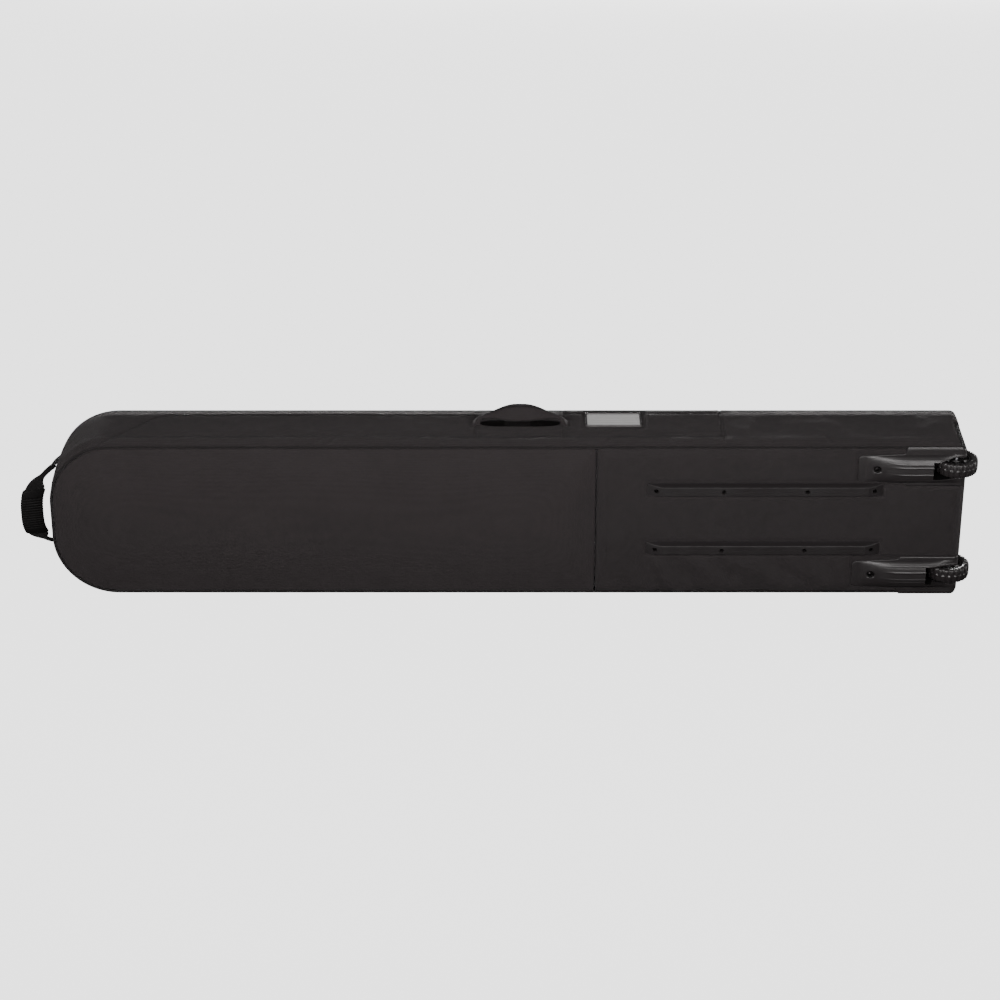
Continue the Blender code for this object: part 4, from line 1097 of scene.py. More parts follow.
HOOD_TOP = 0.0163  # the hood's height over the back face
PLATE_TOP = 0.0036
PLATE_END = TAIL - 0.0006
CORNER_ROLL = 0.010
SLOT_X = WHEEL_X - 0.0485
SLOT_HALF = 0.0185
WELL_R = 0.0485
SHOULDER_X = TAIL - 0.118
HOUSING_X = HOUSINGS["upper"][0].x
HOUSING_SCREW_X = TAIL - 0.173
PLATE_CORNER = 0.0125
TONGUE_CORNER = 0.009
RIM_ROLL = 0.0013


def hood_crest(x):
    """The hood's height along its middle line."""
    rise = PLATE_TOP + 0.0006 + (HOOD_TOP - PLATE_TOP) * smooth((x - HOUSING_X - 0.012) / 0.088) ** 0.8
    fall = smooth((x - SLOT_X - 0.004) / (PLATE_END - 0.014 - SLOT_X))
    return rise * (1 - fall) + (PLATE_TOP + 0.0004) * fall


def hood_half(x):
    """Half the hood's width."""
    return 0.0262 + 0.0034 * smooth((x - HOUSING_X) / 0.10)


# the hood's long ribs: place across the hood, height, half width
HOOD_RIBS = (
    (0.0225, 0.0006, 0.0011), (0.0140, 0.0007, 0.0012), (0.0070, 0.0008, 0.0013),
    (-0.0080, 0.0010, 0.0014), (-0.0210, 0.0009, 0.0012),
)


def hood_height(x, z):
    """The moulding's height over the back face, z being measured from the wheel's middle plane."""
    u = np.clip(np.abs(z) / hood_half(x), 0, 1)
    crest = hood_crest(x)
    h = PLATE_TOP + (crest - PLATE_TOP) * (1 - u**2.7) ** 0.62
    fade = smooth((x - HOUSING_X - 0.055) / 0.035)
    for at, high, wide in HOOD_RIBS:
        h += high * fade * np.exp(-(((z - at) / wide) ** 2))
    # a step at the tongue, and a pocket round the screw
    h += 0.0007 * smooth((x - HOUSING_X - 0.016) / 0.0025) * (1 - u**6)
    pocket = np.hypot(x - HOUSING_SCREW_X, z)
    h = np.where(pocket < 0.0085, h - (h - 0.0046) * smooth((0.0078 - pocket) / 0.0028), h)
    # the foot and the corner at the tail are rounded
    over = np.clip(x - (PLATE_END - CORNER_ROLL), 0, CORNER_ROLL * 0.995)
    return h - (CORNER_ROLL - np.sqrt(CORNER_ROLL**2 - over**2))


def plate_edges(x):
    """The plate's outer and inner edges at x, from the wheel's middle plane."""
    step = smooth((x - SHOULDER_X + 0.004) / 0.008)
    narrow = hood_half(x) + 0.0016
    end = np.clip((x - (PLATE_END - PLATE_CORNER)) / PLATE_CORNER, 0, 1)
    corner = PLATE_CORNER * (1 - np.sqrt(np.maximum(1 - end**2, 0)))
    start = np.clip((HOUSING_X + TONGUE_CORNER - x) / TONGUE_CORNER, 0, 1)
    corner_in = TONGUE_CORNER * (1 - np.sqrt(np.maximum(1 - start**2, 0)))
    high = narrow * (1 - step) + (TOP - WHEEL_ZS["upper"] - 0.0006) * step - corner - corner_in
    low = -(narrow * (1 - step) + 0.0372 * step) + corner_in
    return high, low


def housing(side):
    """One wheel housing: plate, ribbed hood, the slot the wheel looks out of, and the well behind it."""
    flip = 1 if side == "upper" else -1
    zc = WHEEL_ZS[side]
    xs = np.concatenate([
        HOUSING_X + TONGUE_CORNER * (1 - np.cos(np.linspace(0, math.pi / 2, 7)))[:-1] + 0.00005,
        np.linspace(HOUSING_X + TONGUE_CORNER, SHOULDER_X - 0.006, 34)[:-1],
        np.linspace(SHOULDER_X - 0.006, SHOULDER_X + 0.006, 10)[:-1],
        np.linspace(SHOULDER_X + 0.006, SLOT_X, 20)[:-1],
        np.linspace(SLOT_X, PLATE_END - 0.013, 17)[:-1],
        PLATE_END - 0.013 * (1 - np.sin(np.linspace(0, math.pi / 2, 16))),
    ])
    slot_col = int(np.argmin(np.abs(xs - SLOT_X)))
    rows = []
    for x in xs:
        high, low = (float(v) for v in plate_edges(x))
        base = float(hood_half(np.array(x)))
        flare = 0.0085 * float(smooth(np.array((x - SLOT_X - 0.010) / 0.040)))
        lip = SLOT_HALF + flare
        high, low = max(high, lip + 0.0012), min(low, -SLOT_HALF - 0.0012)
        base_up, base_down = min(max(base, lip + 0.0006), high - 0.0003), min(base, -low - 0.0003)
        rows.append(np.concatenate([
            np.linspace(high, base_up, 6)[:-1],
            np.linspace(base_up, lip, 12)[:-1],
            np.linspace(lip, -SLOT_HALF, 44)[:-1],
            np.linspace(-SLOT_HALF, -base_down, 11)[:-1],
            np.linspace(-base_down, low, 6),
        ]))
    z = np.array(rows)
    x = np.repeat(xs[:, None], z.shape[1], 1)
    h = hood_height(x, z)
    # the plate's rim is rounded down to the cloth
    rim = np.minimum(np.minimum(np.abs(z - z[:, :1]), np.abs(z - z[:, -1:])), x - HOUSING_X)
    h -= RIM_ROLL * (1 - np.sqrt(1 - np.clip(1 - rim / RIM_ROLL, 0, 1) ** 2))
    verts = [np.stack([x.ravel(), (BACK - h).ravel(), (zc + flip * z).ravel()], 1)]
    cols = z.shape[1]
    faces = grid_faces(len(xs), cols)
    i, j = faces[:, 0] // cols, faces[:, 0] % cols
    lip_row, sill_row = 16, 59
    in_slot = (i >= slot_col) & (j >= lip_row) & (j < sill_row)
    faces = [tuple(f) for f in faces[~in_slot].tolist()]
    # skirt down to the cloth, all round but the tail
    grid = verts[0].reshape(len(xs), cols, 3)
    edge = np.concatenate([grid[::-1, 0], grid[0, 1:], grid[1:, -1]])
    down = edge.copy()
    down[:, 1] = np.maximum(edge[:, 1] + 0.0021, BACK - 0.0004)
    base = len(verts[0])
    verts += [edge, down]
    n = len(edge)
    faces += [(base + k, base + k + 1, base + n + k + 1, base + n + k) for k in range(n - 1)]
    base += 2 * n
    # the well: side walls and the curved floor
    wx = xs[slot_col:]
    round_part = np.sqrt(np.maximum(WELL_R**2 - (wx - WHEEL_X) ** 2, 0))
    reach = np.where(wx < WHEEL_X, WHEEL_Y + round_part, WHEEL_Y + WELL_R)
    depth = np.linspace(0, 1, 9)
    for row, sign in ((lip_row, 1), (sill_row, -1)):
        top = grid[slot_col:, row]
        wall = np.repeat(top[None], len(depth), 0).copy()
        wall[:, :, 1] = top[:, 1] * (1 - depth[:, None]) + reach * depth[:, None]
        inner = zc + flip * sign * SLOT_HALF
        blend_in = smooth(depth / 0.25)[:, None]
        wall[:, :, 2] = top[:, 2] * (1 - blend_in) + inner * blend_in
        verts.append(wall.reshape(-1, 3))
        faces += sheet_faces(base, len(depth), len(wx))
        base += wall.shape[0] * wall.shape[1]
    across = np.linspace(1, -1, 12)
    floor = np.zeros((len(wx), len(across), 3))
    floor[:, :, 0] = wx[:, None]
    floor[:, :, 1] = reach[:, None]
    floor[:, :, 2] = zc + flip * across * SLOT_HALF
    verts.append(floor.reshape(-1, 3))
    faces += sheet_faces(base, len(wx), len(across))
    base += floor.shape[0] * floor.shape[1]
    near = grid[slot_col, lip_row:sill_row + 1]
    drop = np.zeros((5, len(near), 3))
    for k, t in enumerate(np.linspace(0, 1, 5)):
        drop[k] = near
        drop[k, :, 1] = near[:, 1] * (1 - t) + WHEEL_Y * t
    verts.append(drop.reshape(-1, 3))
    faces += sheet_faces(base, 5, len(near))
    made = mesh_object(f"wheel_hood_{side}", np.concatenate(verts), faces, [M["moulded"], M["well"]])
    weld(made)
    # painted shade: faces inside the well and round the screw's pocket take the near-black plastic
    for face in made.data.polygons:
        c = face.center
        inside = c.y > BACK + 0.0030 or (c.x > SLOT_X - 0.0002 and abs(c.z - zc) < SLOT_HALF + 0.0002)
        pocket = math.hypot(c.x - HOUSING_SCREW_X, c.z - zc) < 0.0072
        face.material_index = 1 if inside or pocket else 0
    solidify(made, 0.0012)
    bevel(made, 0.0004, 2, 50)
    made.modifiers[-1].material = 1  # the rims of the slot and the pocket take the near-black plastic too: painted shade
    made.modifiers[-1].harden_normals = True
    place(made, "shell", (f"wheel_housing_{side}",))


for side in WHEEL_ZS:
    housing(side)


# ---------------------------------------------------------------- wheels


def turned_faces(rows, cols):
    """The faces of a closed section of so many points, turned through a full circle."""
    faces = [tuple(f) for f in grid_faces(rows, cols, wrap=True).tolist()]
    last = (rows - 1) * cols
    return faces + [(last + j, last + (j + 1) % cols, (j + 1) % cols, j) for j in range(cols)]


def tyre(side):
    """A soft tyre with two rows of staggered lugs."""
    zc = WHEEL_ZS[side]
    half = (TYRE_HIGH.z - TYRE_LOW.z) / 2
    lugs, steps = 22, 12
    theta = np.linspace(0, 2 * math.pi, lugs * steps, endpoint=False)
    inner = 0.0266
    profile = [
        (inner, -0.80), (0.0295, -0.90), (0.0335, -0.985), (0.0362, -1.0), (0.0380, -0.985), (0.0394, -0.93)
    ]
    tread = [(WHEEL_R - 0.0020 * abs(w) ** 3.2, w) for w in np.linspace(-0.86, 0.86, 25)]
    profile = profile + tread + [(r, -w) for r, w in profile[::-1]]
    verts = []
    for r, w in profile:
        phase = math.pi if w > 0 else 0.0
        lug = smooth((np.sin(lugs * theta + phase) + 0.42) / 0.30)
        deep = 0.0026 * float(smooth((abs(w) - 0.06) / 0.08)) * float(smooth((r - 0.0350) / 0.0035))
        radius = r - deep * (1 - lug) * 0.9
        x, y = WHEEL_X + radius * np.cos(theta), WHEEL_Y + radius * np.sin(theta)
        verts.append(np.stack([x, y, np.full(len(theta), zc + w * half)], 1))
    faces = turned_faces(len(profile), len(theta))
    made = mesh_object(f"tyre_tread_{side}", np.concatenate(verts), faces, M["tyre"])
    weld(made)
    place(made, f"wheel_{side}", (f"tyre_{side}",))


def hub(side):
    """A hub with a rim, six hollow spokes and a collar round the bearings."""
    zc = WHEEL_ZS[side]
    theta = np.linspace(0, 2 * math.pi, 144, endpoint=False)
    profile = [
        (0.0262, -0.0112), (0.0262, 0.0112), (0.0255, 0.0120), (0.0240, 0.0118),
        (0.0233, 0.0105), (0.0228, 0.0050), (0.0215, 0.0040), (0.0180, 0.0038),
        (0.0150, 0.0042), (0.0142, 0.0060), (0.0138, 0.0108), (0.0130, 0.0116),
        (0.0113, 0.0114), (0.0112, 0.0052), (0.0082, 0.0050), (0.0082, -0.0050),
    ]
    profile += [(r, -h) for r, h in profile[-3:1:-1]]
    verts = []
    for r, h in profile:
        spoke = smooth((np.cos(6 * theta) + 0.1) / 0.5)
        web = 1.0 if 0.0145 < r < 0.0232 and abs(h) < 0.009 else 0.0
        lift = web * 0.0042 * spoke * (1 if h > 0 else -1)
        verts.append(np.stack([WHEEL_X + r * np.cos(theta), WHEEL_Y + r * np.sin(theta), zc + h + lift], 1))
    faces = turned_faces(len(profile), len(theta))
    made = mesh_object(f"hub_spokes_{side}", np.concatenate(verts), faces, M["hub"])
    weld(made)
    bevel(made, 0.0004, 2, 40)
    place(made, f"wheel_{side}", (f"hub_{side}",))


for side in WHEEL_ZS:
    tyre(side)
    hub(side)


# ---------------------------------------------------------------- handles


def strap_line(arch, t):
    """How far the strap has opened at t, how far out it is, and the direction across it there."""
    half_span, rise, squareness, sewn, opening = arch

    def out_at(u):
        return rise * max(1 - abs(u) ** squareness, 0.0) ** 0.85

    opened = float(smooth(np.array((1 - abs(t) - sewn) / opening)))
    low, high = max(t - 0.02, -1.0), min(t + 0.02, 1.0)
    slope = (out_at(high) - out_at(low)) / ((high - low) * half_span) * (1 - opened)
    size = math.hypot(1, slope)
    return opened, out_at(t), 1 / size, slope / size


def strap_rings(
    place_at, arch, width, thickness, lean, gathered, reach=1.0, count=61, ring=28, clear=0.0, plump=0.0
):
    """Rings along an arched strap: gathered to a cord at its ends and a leaning band between them."""
    half_span = arch[0]
    rings = []
    for i in range(count):
        t = -reach + 2 * reach * i / (count - 1)
        opened, out, run, climb = strap_line(arch, t)
        angle = math.radians(lean * opened**0.5)
        half_w = (gathered + (width - gathered) * opened) / 2 + clear
        half_t = (gathered + (thickness - gathered) * opened) / 2 + clear
        points = []
        for k in range(ring):
            a = 2 * math.pi * (k + 0.5) / ring
            power = 2 / (2 + 2.5 * opened)
            cos, sin = math.cos(a), math.sin(a)
            across = half_w * math.copysign(abs(cos) ** power, cos)
            fuller = 1 + plump * opened * (1 - (across / half_w) ** 2)
            through = half_t * math.copysign(abs(sin) ** power, sin) * fuller
            sideways = across * math.cos(angle) - through * math.sin(angle)
            off = across * math.sin(angle) + through * math.cos(angle)
            points.append(place_at(t * half_span - off * climb, sideways, out + off * run))
        rings.append(points)
    return rings


def skin(name, rings, mat):
    """A closed skin over rings of points."""
    count, ring = len(rings), len(rings[0])
    verts = [p for r in rings for p in r]
    faces = [tuple(f) for f in grid_faces(count, ring, wrap=True).tolist()]
    faces.append(tuple(range(ring))[::-1])
    faces.append(tuple((count - 1) * ring + j for j in range(ring)))
    made = mesh_object(name, verts, faces, mat)
    weld(made, 1e-7)
    return made


SIDE_LOW, SIDE_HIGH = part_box("side_handle")
SIDE_X = (SIDE_LOW.x + SIDE_HIGH.x) / 2
SIDE_SPAN = (SIDE_HIGH.x - SIDE_LOW.x) / 2
SIDE_Y = BACK + 0.104
SIDE_AXIS_Z = TOP + 0.0085
ROLLED = 0.009  # how thick a strap is where it is rolled to a cord
SIDE_BAND, SIDE_LEAN = 0.0318, 62  # the side handle's width, and how far it leans, in degrees


def side_at(along, sideways, outward):
    return (SIDE_X + along, SIDE_Y + sideways, SIDE_AXIS_Z + outward)


def band_edge(place_at, arch, width, lean, edge, reach, count=60, lift=0.0, gathered=ROLLED):
    """A line along an arched strap, edge being -1 to 1 across it and lift its height off the middle."""
    half_span = arch[0]
    line = []
    for i in range(count):
        t = -reach + 2 * reach * i / (count - 1)
        opened, out, _, _ = strap_line(arch, t)
        angle = math.radians(lean * opened**0.5)
        across = edge * (gathered + (width - gathered) * opened) / 2
        sideways = across * math.cos(angle) - lift * math.sin(angle)
        height = out + across * math.sin(angle) + lift * math.cos(angle)
        line.append(place_at(t * half_span, sideways, height))
    return line


def side_handle():
    """The padded side handle, its sewn ends and a near-black strip under it whose colour is painted shade.
    """
    arch = (SIDE_SPAN, 0.0152, 2.2, 0.05, 0.85)
    rings = strap_rings(side_at, arch, SIDE_BAND, 0.0054, SIDE_LEAN, 0.0086, plump=0.30)
    body = skin("side_handle_pad", rings, M["shell"])
    co = coords(body)
    lumps = 0.0007 * noise(co, 0.03, 101) + 0.0003 * noise(co, 0.011, 102)
    normals = np.zeros(len(co) * 3)
    body.data.vertices.foreach_get("normal", normals)
    set_coords(body, co + normals.reshape(-1, 3) * lumps[:, None])
    place(body, "side_handle", ("side_handle",))
    for name, edge in (("top", 0.985), ("under", -0.985)):
        line = band_edge(side_at, arch, SIDE_BAND, SIDE_LEAN, edge, 0.90, 80)
        binding = tube(f"side_handle_binding_{name}", line, 0.0017, M["binding"], ring=10)
        place(binding, "side_handle")
    line = band_edge(side_at, arch, SIDE_BAND, SIDE_LEAN, 0.74, 0.86, 80, lift=0.0031)
    place(tube("side_handle_cord", line, 0.0008, M["webbing"], ring=8), "side_handle")
    rows = []
    angle = math.radians(SIDE_LEAN)
    for face in (1, -1):
        up = (0, -face * math.sin(angle), face * math.cos(angle))
        for edge in (0.64, -0.76):
            line = band_edge(side_at, arch, SIDE_BAND, SIDE_LEAN, edge, 0.60, 50, face * 0.0030)
            rows.append((line, up))
    stitches("side_handle_stitching", rows, M["thread"], "side_handle", pitch=0.0036, length=0.0025)

    # the sewn ends: a short sleeve of cloth round each gathered end, and the near-black strip under the
    # handle, whose colour is painted shade
    base = TOP + 0.0002
    for number, direction in enumerate((-1, 1)):
        rings = []
        for i in range(22):
            t = i / 21
            along = direction * (SIDE_SPAN - 0.0035 + 0.0170 * t)
            half = 0.0062 + 0.0070 * float(smooth(np.array(t / 0.7)))
            high = 0.0142 * (1 - float(smooth(np.array((t - 0.12) / 0.80)))) + 0.0012
            pinch = 0.0010 * math.exp(-(((t - 0.32) / 0.06) ** 2))
            points = []
            for k in range(24):
                a = math.pi * (1.0 - k / 17) if k < 18 else None
                if a is not None:
                    y = half * math.cos(a)
                    z = (high - pinch) * max(math.sin(a), 0) ** 0.75
                else:
                    y = half * (1 - 2 * (k - 17) / 7)
                    z = -0.0004
                points.append((SIDE_X + along, SIDE_Y + y, base + z))
            rings.append(points)
        sleeve = skin(f"side_handle_end_{number + 1}", rings, M["shell"])
        place(sleeve, "shell", ("side_handle_patch",) if number == 0 else ())
    half_long, half_wide = SIDE_SPAN - 0.004, 0.0135
    strip_x = np.linspace(SIDE_X - SIDE_SPAN + 0.004, SIDE_X + SIDE_SPAN - 0.004, 60)
    strip_y = np.linspace(-half_wide, half_wide, 14)
    x, y = np.meshgrid(strip_x, strip_y, indexing="ij")
    far = np.abs(x.ravel() - SIDE_X) / half_long
    taper = np.sqrt(np.maximum(1 - far**5, 0.02))
    flat = np.stack([x.ravel(), SIDE_Y + y.ravel() * taper, np.full(x.size, TOP + 0.0013)], 1)
    away = np.minimum(half_wide - np.abs(y.ravel()), 0.003) / 0.003
    flat[:, 2] += 0.0004 * noise(flat, 0.03, 105) - 0.0009 * (1 - np.sqrt(away))
    # painted shade: the strip's ends take the darkest colour, where shade falls under the handle's ends,
    # and its middle a less dark one
    strip = mesh_object("side_handle_painted_shade_strip", flat, grid_faces(60, 14), [M["strip"], M["painted_shade_strip_middle"]])
    for face in strip.data.polygons:
        face.material_index = 1 if -0.030 < face.center.x - SIDE_X < 0.020 else 0
    weld(strip)
    solidify(strip, 0.0010)
    place(strip, "shell")


side_handle()

END_Z = 0.156
END_AXIS_X = NOSE - 0.001
END_TURN = math.radians(28)
END_SPAN = 0.083
END_SAG = 0.009
END_BAND, END_LEAN = 0.0375, 75
GRIP_HALF = 0.047


def end_at(along, sideways, outward):
    cos, sin = math.cos(END_TURN), math.sin(END_TURN)
    sag = END_SAG * (1 - (along / END_SPAN) ** 2)
    return (
        END_AXIS_X - outward * cos - sideways * sin,
        MID_Y - outward * sin + sideways * cos,
        END_Z + along - sag,
    )


def end_handle():
    """The nose handle: a webbing strap with a ribbed grip."""
    arch = (END_SPAN, 0.0514, 3, 0.13, 0.29)
    rings = strap_rings(end_at, arch, END_BAND, 0.0042, END_LEAN, 0.0095, count=121, ring=32)
    strap = skin("end_handle_webbing", rings, M["webbing"])
    place(strap, "end_handle", ("end_handle_strap",))
    # the grip: a rubber sleeve with ribs across it and a plain collar at each end
    reach = GRIP_HALF / END_SPAN
    rings = strap_rings(end_at, arch, 0.0445, 0.0076, END_LEAN, 0.0088, reach, 161, 32, plump=0.22)
    count = len(rings)
    middle = [np.mean(np.array(r), 0) for r in rings]
    shaped = []
    for i, ring in enumerate(rings):
        t = i / (count - 1)
        edge = min(t, 1 - t) * 2 * GRIP_HALF
        rib = 0.5 + 0.5 * math.cos(2 * math.pi * t * 0.094 / 0.0052)
        in_ribs = float(smooth(np.array((edge - 0.012) / 0.002)))
        size = 1.0 - 0.030 * rib * in_ribs - 0.10 * (1 - math.sqrt(1 - (1 - min(edge / 0.003, 1)) ** 2))
        size -= 0.035 * math.exp(-(((edge - 0.0105) / 0.0008) ** 2))
        thin = 1.0 - 0.16 * rib * in_ribs
        c = middle[i]
        r = np.array(ring) - c
        wide = r[0] / np.linalg.norm(r[0])
        along_w = r @ wide
        rest = r - along_w[:, None] * wide
        shaped.append([tuple(v) for v in c + along_w[:, None] * wide * size + rest * thin])
    grip = skin("end_handle_rubber", shaped, M["grip"])
    place(grip, "end_handle", ("end_handle_grip",))
    # sewing along both edges of the webbing, outside the grip
    angle = math.radians(END_LEAN)
    rows = []
    for face in (1, -1):
        for edge in (0.78, -0.78):
            line = band_edge(end_at, arch, END_BAND, END_LEAN, edge, 0.80, 90, face * 0.0020, 0.0088)
            tip = np.array(end_at(0, -face * math.sin(angle), face * math.cos(angle)))
            side_dir = tip - np.array(end_at(0, 0, 0))
            for part in (line[:16], line[-16:]):
                rows.append((part, tuple(side_dir)))
    stitches("end_handle_stitching", rows, M["thread"], "end_handle", pitch=0.0036, length=0.0024)


end_handle()


def end_tabs():
    """Webbing loops, folded over and sewn to the nose, that hold the gathered ends of the nose handle."""
    for side, direction in (("upper", 1), ("lower", -1)):
        z0 = END_Z + direction * END_SPAN
        corner = TOP - NOSE_R if direction > 0 else NOSE_R
        rings = []
        for i in range(34):
            t = i / 33
            z = z0 + direction * (-0.0020 + 0.0285 * t)
            rise = (z - corner) * direction
            surface = NOSE + NOSE_R - math.sqrt(max(NOSE_R**2 - max(rise, 0) ** 2, 0)) - 0.0006
            settle = float(smooth(np.array((t - 0.10) / 0.62)))
            centre = (END_AXIS_X - 0.0002) * (1 - settle) + (surface - 0.0012) * settle
            half_y = 0.0048 + 0.0122 * float(smooth(np.array((t - 0.05) / 0.5)))
            half_x = 0.0047 * (1 - settle) + 0.0013 * settle
            points = []
            for k in range(30):
                a = 2 * math.pi * (k + 0.5) / 30
                power = 2 / (2 + 3.0 * settle)
                cos, sin = math.cos(a), math.sin(a)
                points.append((
                    centre - half_x * math.copysign(abs(sin) ** power, sin),
                    MID_Y + half_y * math.copysign(abs(cos) ** power, cos),
                    z,
                ))
            rings.append(points)
        tab = skin(f"nose_tab_{side}", rings, M["webbing"])
        place(tab, "shell", (f"end_handle_tab_{side}",))


end_tabs()


# ---------------------------------------------------------------- card pocket

CARD_LOW, CARD_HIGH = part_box("card_frame")


def rounded(x0, x1, y0, y1, r, steps=8):
    points = []
    corners = ((x0 + r, y0 + r, 180), (x1 - r, y0 + r, 270), (x1 - r, y1 - r, 0), (x0 + r, y1 - r, 90))
    for x, y, start in corners:
        points += arc(x, y, r, start, start + 90, steps)
    return points


def card_pocket():
    """The clear window's welt, sewn down all round."""
    r = 0.0021
    x0, x1, y0, y1 = CARD_LOW.x + r, CARD_HIGH.x - r, CARD_LOW.y + r, CARD_HIGH.y - r
    path = even(rounded(x0, x1, y0, y1, 0.0030), 0.0025)
    frame_line = [(x, y, TOP + 0.0011 + 0.0002 * math.sin(i * 0.7)) for i, (x, y) in enumerate(path)]
    edge = tube(
        "card_pocket_binding", frame_line, r, M["vinyl_edge"], closed=True, ring=14, squash=0.62
    )
    place(edge, "shell", ("card_frame",))
    line = even(rounded(x0, x1, y0, y1, 0.0042), 0.0030)
    line = np.vstack([line, line[:1]])
    rows = [([(x, y, TOP + 0.0024) for x, y in line], (0, 0, 1))]
    stitches(
        "card_pocket_stitching", rows, M["thread"], "shell", pitch=0.0032, length=0.0022, radius=0.00028
    )


def reuse(node, mat, edge=0.0, segments=2):
    """A CAD node that stays, with a finished material and rounded edges."""
    obj = frame["nodes"][node]
    obj.data.materials.clear()
    obj.data.materials.append(mat)
    if edge:
        bevel(obj, edge, segments, 30)
    return obj


def carried_over():
    """The CAD pieces that are seen as they are."""
    for side in WHEEL_ZS:
        reuse(f"skid_rail_{side}", M["rail"], 0.0007, 3)
        for node in (f"bearing_{side}_1", f"bearing_{side}_2", f"spacer_{side}", f"axle_{side}"):
            reuse(node, M["bright_steel"], 0.0003)
        reuse(f"housing_screw_{side}", M["steel"], 0.0003)
    for number in range(1, 9):
        reuse(f"rail_screw_{number}", M["steel"], 0.0003)
    reuse("tail_plate", M["tail"], 0.0009, 3)
    reuse("base_board", M["board"], 0.0004)
    reuse("card", M["card"], 0.0001)
    reuse("card_window", M["window"], 0.0001)
    for end in ("nose", "tail"):
        reuse(f"zip_slider_{end}", M["zip_metal"], 0.0006, 3)
        reuse(f"zip_puller_{end}", M["zip_metal"], 0.0005, 3)


card_pocket()
carried_over()


# ---------------------------------------------------------------- zip


def zip_line(inset, step):
    path = np.array(zip_path(inset, FOLD - 0.0012))
    return even(path, step, closed=False)


# one turn of the coil: how far off the middle line, how high, and half its width there
ZIP_TURN = (
    (-0.0006, 0.0001, 0.00035), (0.0000, 0.0009, 0.00055), (0.0010, 0.0011, 0.00050),
    (0.0019, 0.0007, 0.00045), (0.0023, -0.0004, 0.00035),
)


def zip_parts():
    """Two woven tapes with a coil of teeth on each: one sewn to the shell, one to the lid."""
    sides = (("shell", "zip_fixed_half", -1), ("lid", "zip_lid_half", 1))
    centre = zip_line(ZIP_INSET, 0.003)
    out_n = normals_of(centre, closed=False)
    for body, node, way in sides:
        rows = (0.0002, 0.0012, 0.0024, 0.0036, 0.0048)
        lifts = (-0.0006, -0.0005, -0.0006, -0.0009, -0.0013)
        if body == "lid":  # the lid's tape runs on into the edge of the pad it is sewn to
            rows += (0.0062, 0.0080)
            lifts = (-0.0006, -0.0005, -0.0006, -0.0012, -0.0022, -0.0036, -0.0050)
        verts = []
        for off, lift in zip(rows, lifts):
            p = centre - out_n * off * way
            verts.append(np.stack([p[:, 0], np.full(len(p), FRONT + lift), p[:, 1]], 1))
        faces = grid_faces(len(rows), len(centre), flip=way > 0)
        tape = mesh_object(f"zip_tape_{body}", np.concatenate(verts), faces, M["zip_tape"])
        weld(tape)
        solidify(tape, 0.0006)
        place(tape, body, (node,))

        pitch = 0.0024
        line = zip_line(ZIP_INSET, pitch)
        n = normals_of(line, closed=False)
        d = np.stack([-n[:, 1], n[:, 0]], 1)
        below = line[:, 1] < FOLD - 0.016  # clear of the strip above when the lid lies back
        line, n, d = line[below], n[below], d[below]
        verts, faces = [], []
        shift = 0.0 if way > 0 else pitch / 2
        for p, m, t in zip(line, n, d):
            c = p + t * shift
            base = len(verts)
            # one turn of the coil: a small rounded loop that hooks past the middle line
            for off, high, half in ZIP_TURN:
                q = c - m * off * way
                for along, lift in ((-half, -0.0002), (-half, 0.0), (half, 0.0), (half, -0.0002)):
                    verts.append((q[0] + t[0] * along, FRONT + high + lift - 0.0001, q[1] + t[1] * along))
            for k in range(4):
                a = base + 4 * k
                for j in range(4):
                    faces.append((a + j, a + (j + 1) % 4, a + 4 + (j + 1) % 4, a + 4 + j))
            faces.append((base + 3, base + 2, base + 1, base))
            faces.append((base + 16, base + 17, base + 18, base + 19))
        teeth = mesh_object(f"zip_teeth_{body}", verts, faces, M["zip_teeth"])
        weld(teeth, 1e-7)
        place(teeth, body)
        # the sewing that holds the tape
        seam_line = (centre - out_n * 0.0058 * way)[centre[:, 1] < FOLD - 0.018]
        lift = FRONT + (0.0004 if body == "shell" else 0.0006)
        rows = [([(x, lift, z) for x, z in seam_line], (0, 1, 0))]
        stitches(f"zip_sewing_{body}", rows, M["thread"], body, pitch=0.0040, length=0.0028)


def fold_strip():
    """The cloth along the lid's fold, between the two ends of the zip."""
    first, last = zip_line(ZIP_INSET - 0.0030, 0.01)[0], zip_line(ZIP_INSET - 0.0030, 0.01)[-1]
    xs = np.linspace(first[0], last[0], 300)
    zs = np.linspace(-0.0125, 0.0105, 25)
    x, z = np.meshgrid(xs, zs, indexing="ij")
    flat = np.stack([x.ravel(), np.full(x.size, FRONT), FOLD + z.ravel()], 1)
    away = np.minimum(z.ravel() + 0.0125, 0.0105 - z.ravel())
    out = 0.0016 * np.sqrt(np.clip(away / 0.003, 0, 1))
    out = out + 0.0005 * noise(flat, 0.03, 111) * np.clip(away / 0.004, 0, 1)
    out -= 0.0007 * np.exp(-((z.ravel() / 0.0018) ** 2))
    flat[:, 1] += out + 0.0004
    strip = mesh_object("fold_strip", flat, grid_faces(300, 25), M["shell"])
    weld(strip)
    solidify(strip, 0.0009)
    apply_modifiers(strip)
    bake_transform(strip)


zip_parts()
fold_strip()


# ---------------------------------------------------------------- sewing on the back


def back_sewing():
    """Two rows of stitches beside the cross seam."""
    rows = []
    y = BACK + 0.0002
    for offset in (0.0042, 0.0100):
        x = SEAM + offset
        heights = np.linspace(INSET + 0.004, TOP - INSET - 0.004, 60)
        rows.append(([(x, y - 0.0014, z) for z in heights], (0, -1, 0)))
    stitches("seam_stitching", rows, M["thread"], "shell", pitch=0.0040, length=0.0028)


back_sewing()


# ---------------------------------------------------------------- floor, light, camera


FLOOR = 9  # half the floor's side


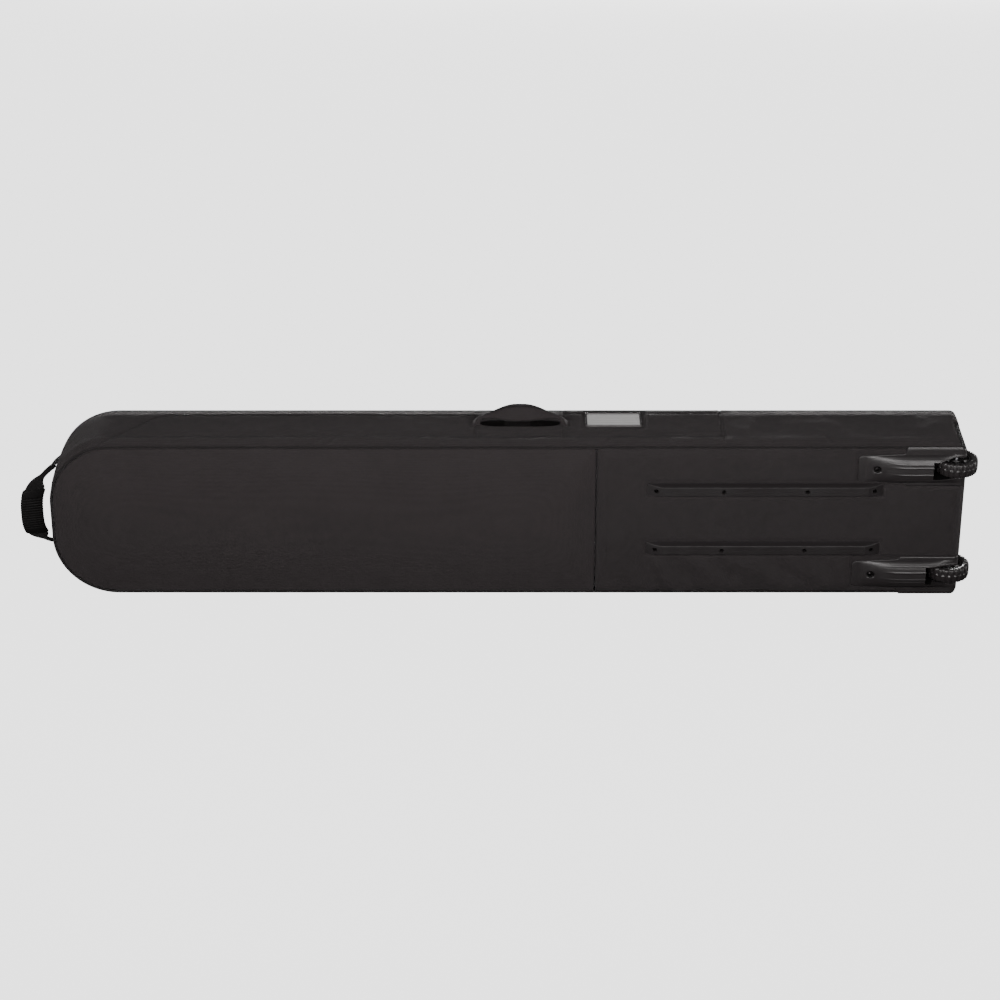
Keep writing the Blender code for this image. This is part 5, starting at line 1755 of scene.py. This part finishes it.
def studio():
    """A pale floor, a soft world and four soft lamps."""
    corners = [(-FLOOR, -FLOOR, 0), (FLOOR, -FLOOR, 0), (FLOOR, FLOOR, 0), (-FLOOR, FLOOR, 0)]
    floor = mesh_object("floor", corners, [(0, 1, 2, 3)], [], False)
    look = Look("floor_paint", (0.05, 0.05, 0.05), 0.95, Specular_IOR_Level=0.0, Emission_Strength=2.6)
    look.shader.inputs["Emission Color"].default_value = (1, 1, 1, 1)
    grain = look.noise(0.8, 3, 0.5)
    look.tint([(look.ramp(grain, 0.3, 0.7, 0.0, 0.3), (0.045, 0.045, 0.045))])
    floor.data.materials.append(look.mat)
    floor.visible_diffuse = False  # the bag's underside gets no light back from the floor
    floor.visible_glossy = False

    world = bpy.data.worlds.new("studio")
    world.use_nodes = True
    tree = world.node_tree
    back = tree.nodes["Background"]
    back.inputs[1].default_value = 0.20
    split = tree.nodes.new("ShaderNodeSeparateXYZ")
    coord = tree.nodes.new("ShaderNodeTexCoord")
    tree.links.new(coord.outputs["Generated"], split.inputs[0])
    height = tree.nodes.new("ShaderNodeMapRange")
    tree.links.new(split.outputs["Z"], height.inputs["Value"])
    for key, value in (("From Min", -0.05), ("From Max", 0.25), ("To Min", 0.10), ("To Max", 1.0)):
        height.inputs[key].default_value = value
    tree.links.new(height.outputs[0], back.inputs[0])
    bpy.context.scene.world = world

    def area(name, at, target, size, power, size_y=None):
        data = bpy.data.lights.new(name, "AREA")
        data.energy = power
        data.color = (1.0, 0.975, 0.97)
        data.size = size
        if size_y:
            data.shape = "RECTANGLE"
            data.size_y = size_y
        lamp = bpy.data.objects.new(name, data)
        bpy.context.scene.collection.objects.link(lamp)
        lamp.location = at
        lamp.rotation_euler = (Vector(target) - Vector(at)).to_track_quat("-Z", "Y").to_euler()
        lamp.visible_camera = False

    area("key", (0.0, -1.30, 0.80), (0, -0.08, 0.36), 3.2, 56, 0.45)
    area("left", (-2.8, -1.2, 1.2), (-0.3, 0, 0.16), 1.4, 12)
    area("rear", (0.3, 4.3, 0.19), (0, 0, 0.16), 3.6, 270, 0.26)
    area("right", (3.0, 0.5, 0.19), (0.9, 0, 0.16), 0.8, 22, 0.26)


def camera():
    """The photo's angle."""
    data = bpy.data.cameras.new("camera")
    data.lens = 98.55
    data.sensor_width = 36.0
    data.clip_end = 60
    view = bpy.data.objects.new("camera", data)
    bpy.context.scene.collection.objects.link(view)
    target = Vector((NOSE + 0.8765, BACK + 0.0704, 0.171))
    elevation = math.radians(27)
    distance = 5.4
    view.location = target + distance * Vector((0, -math.cos(elevation), math.sin(elevation)))
    view.rotation_euler = (target - view.location).to_track_quat("-Z", "Y").to_euler()
    bpy.context.scene.camera = view


studio()
camera()
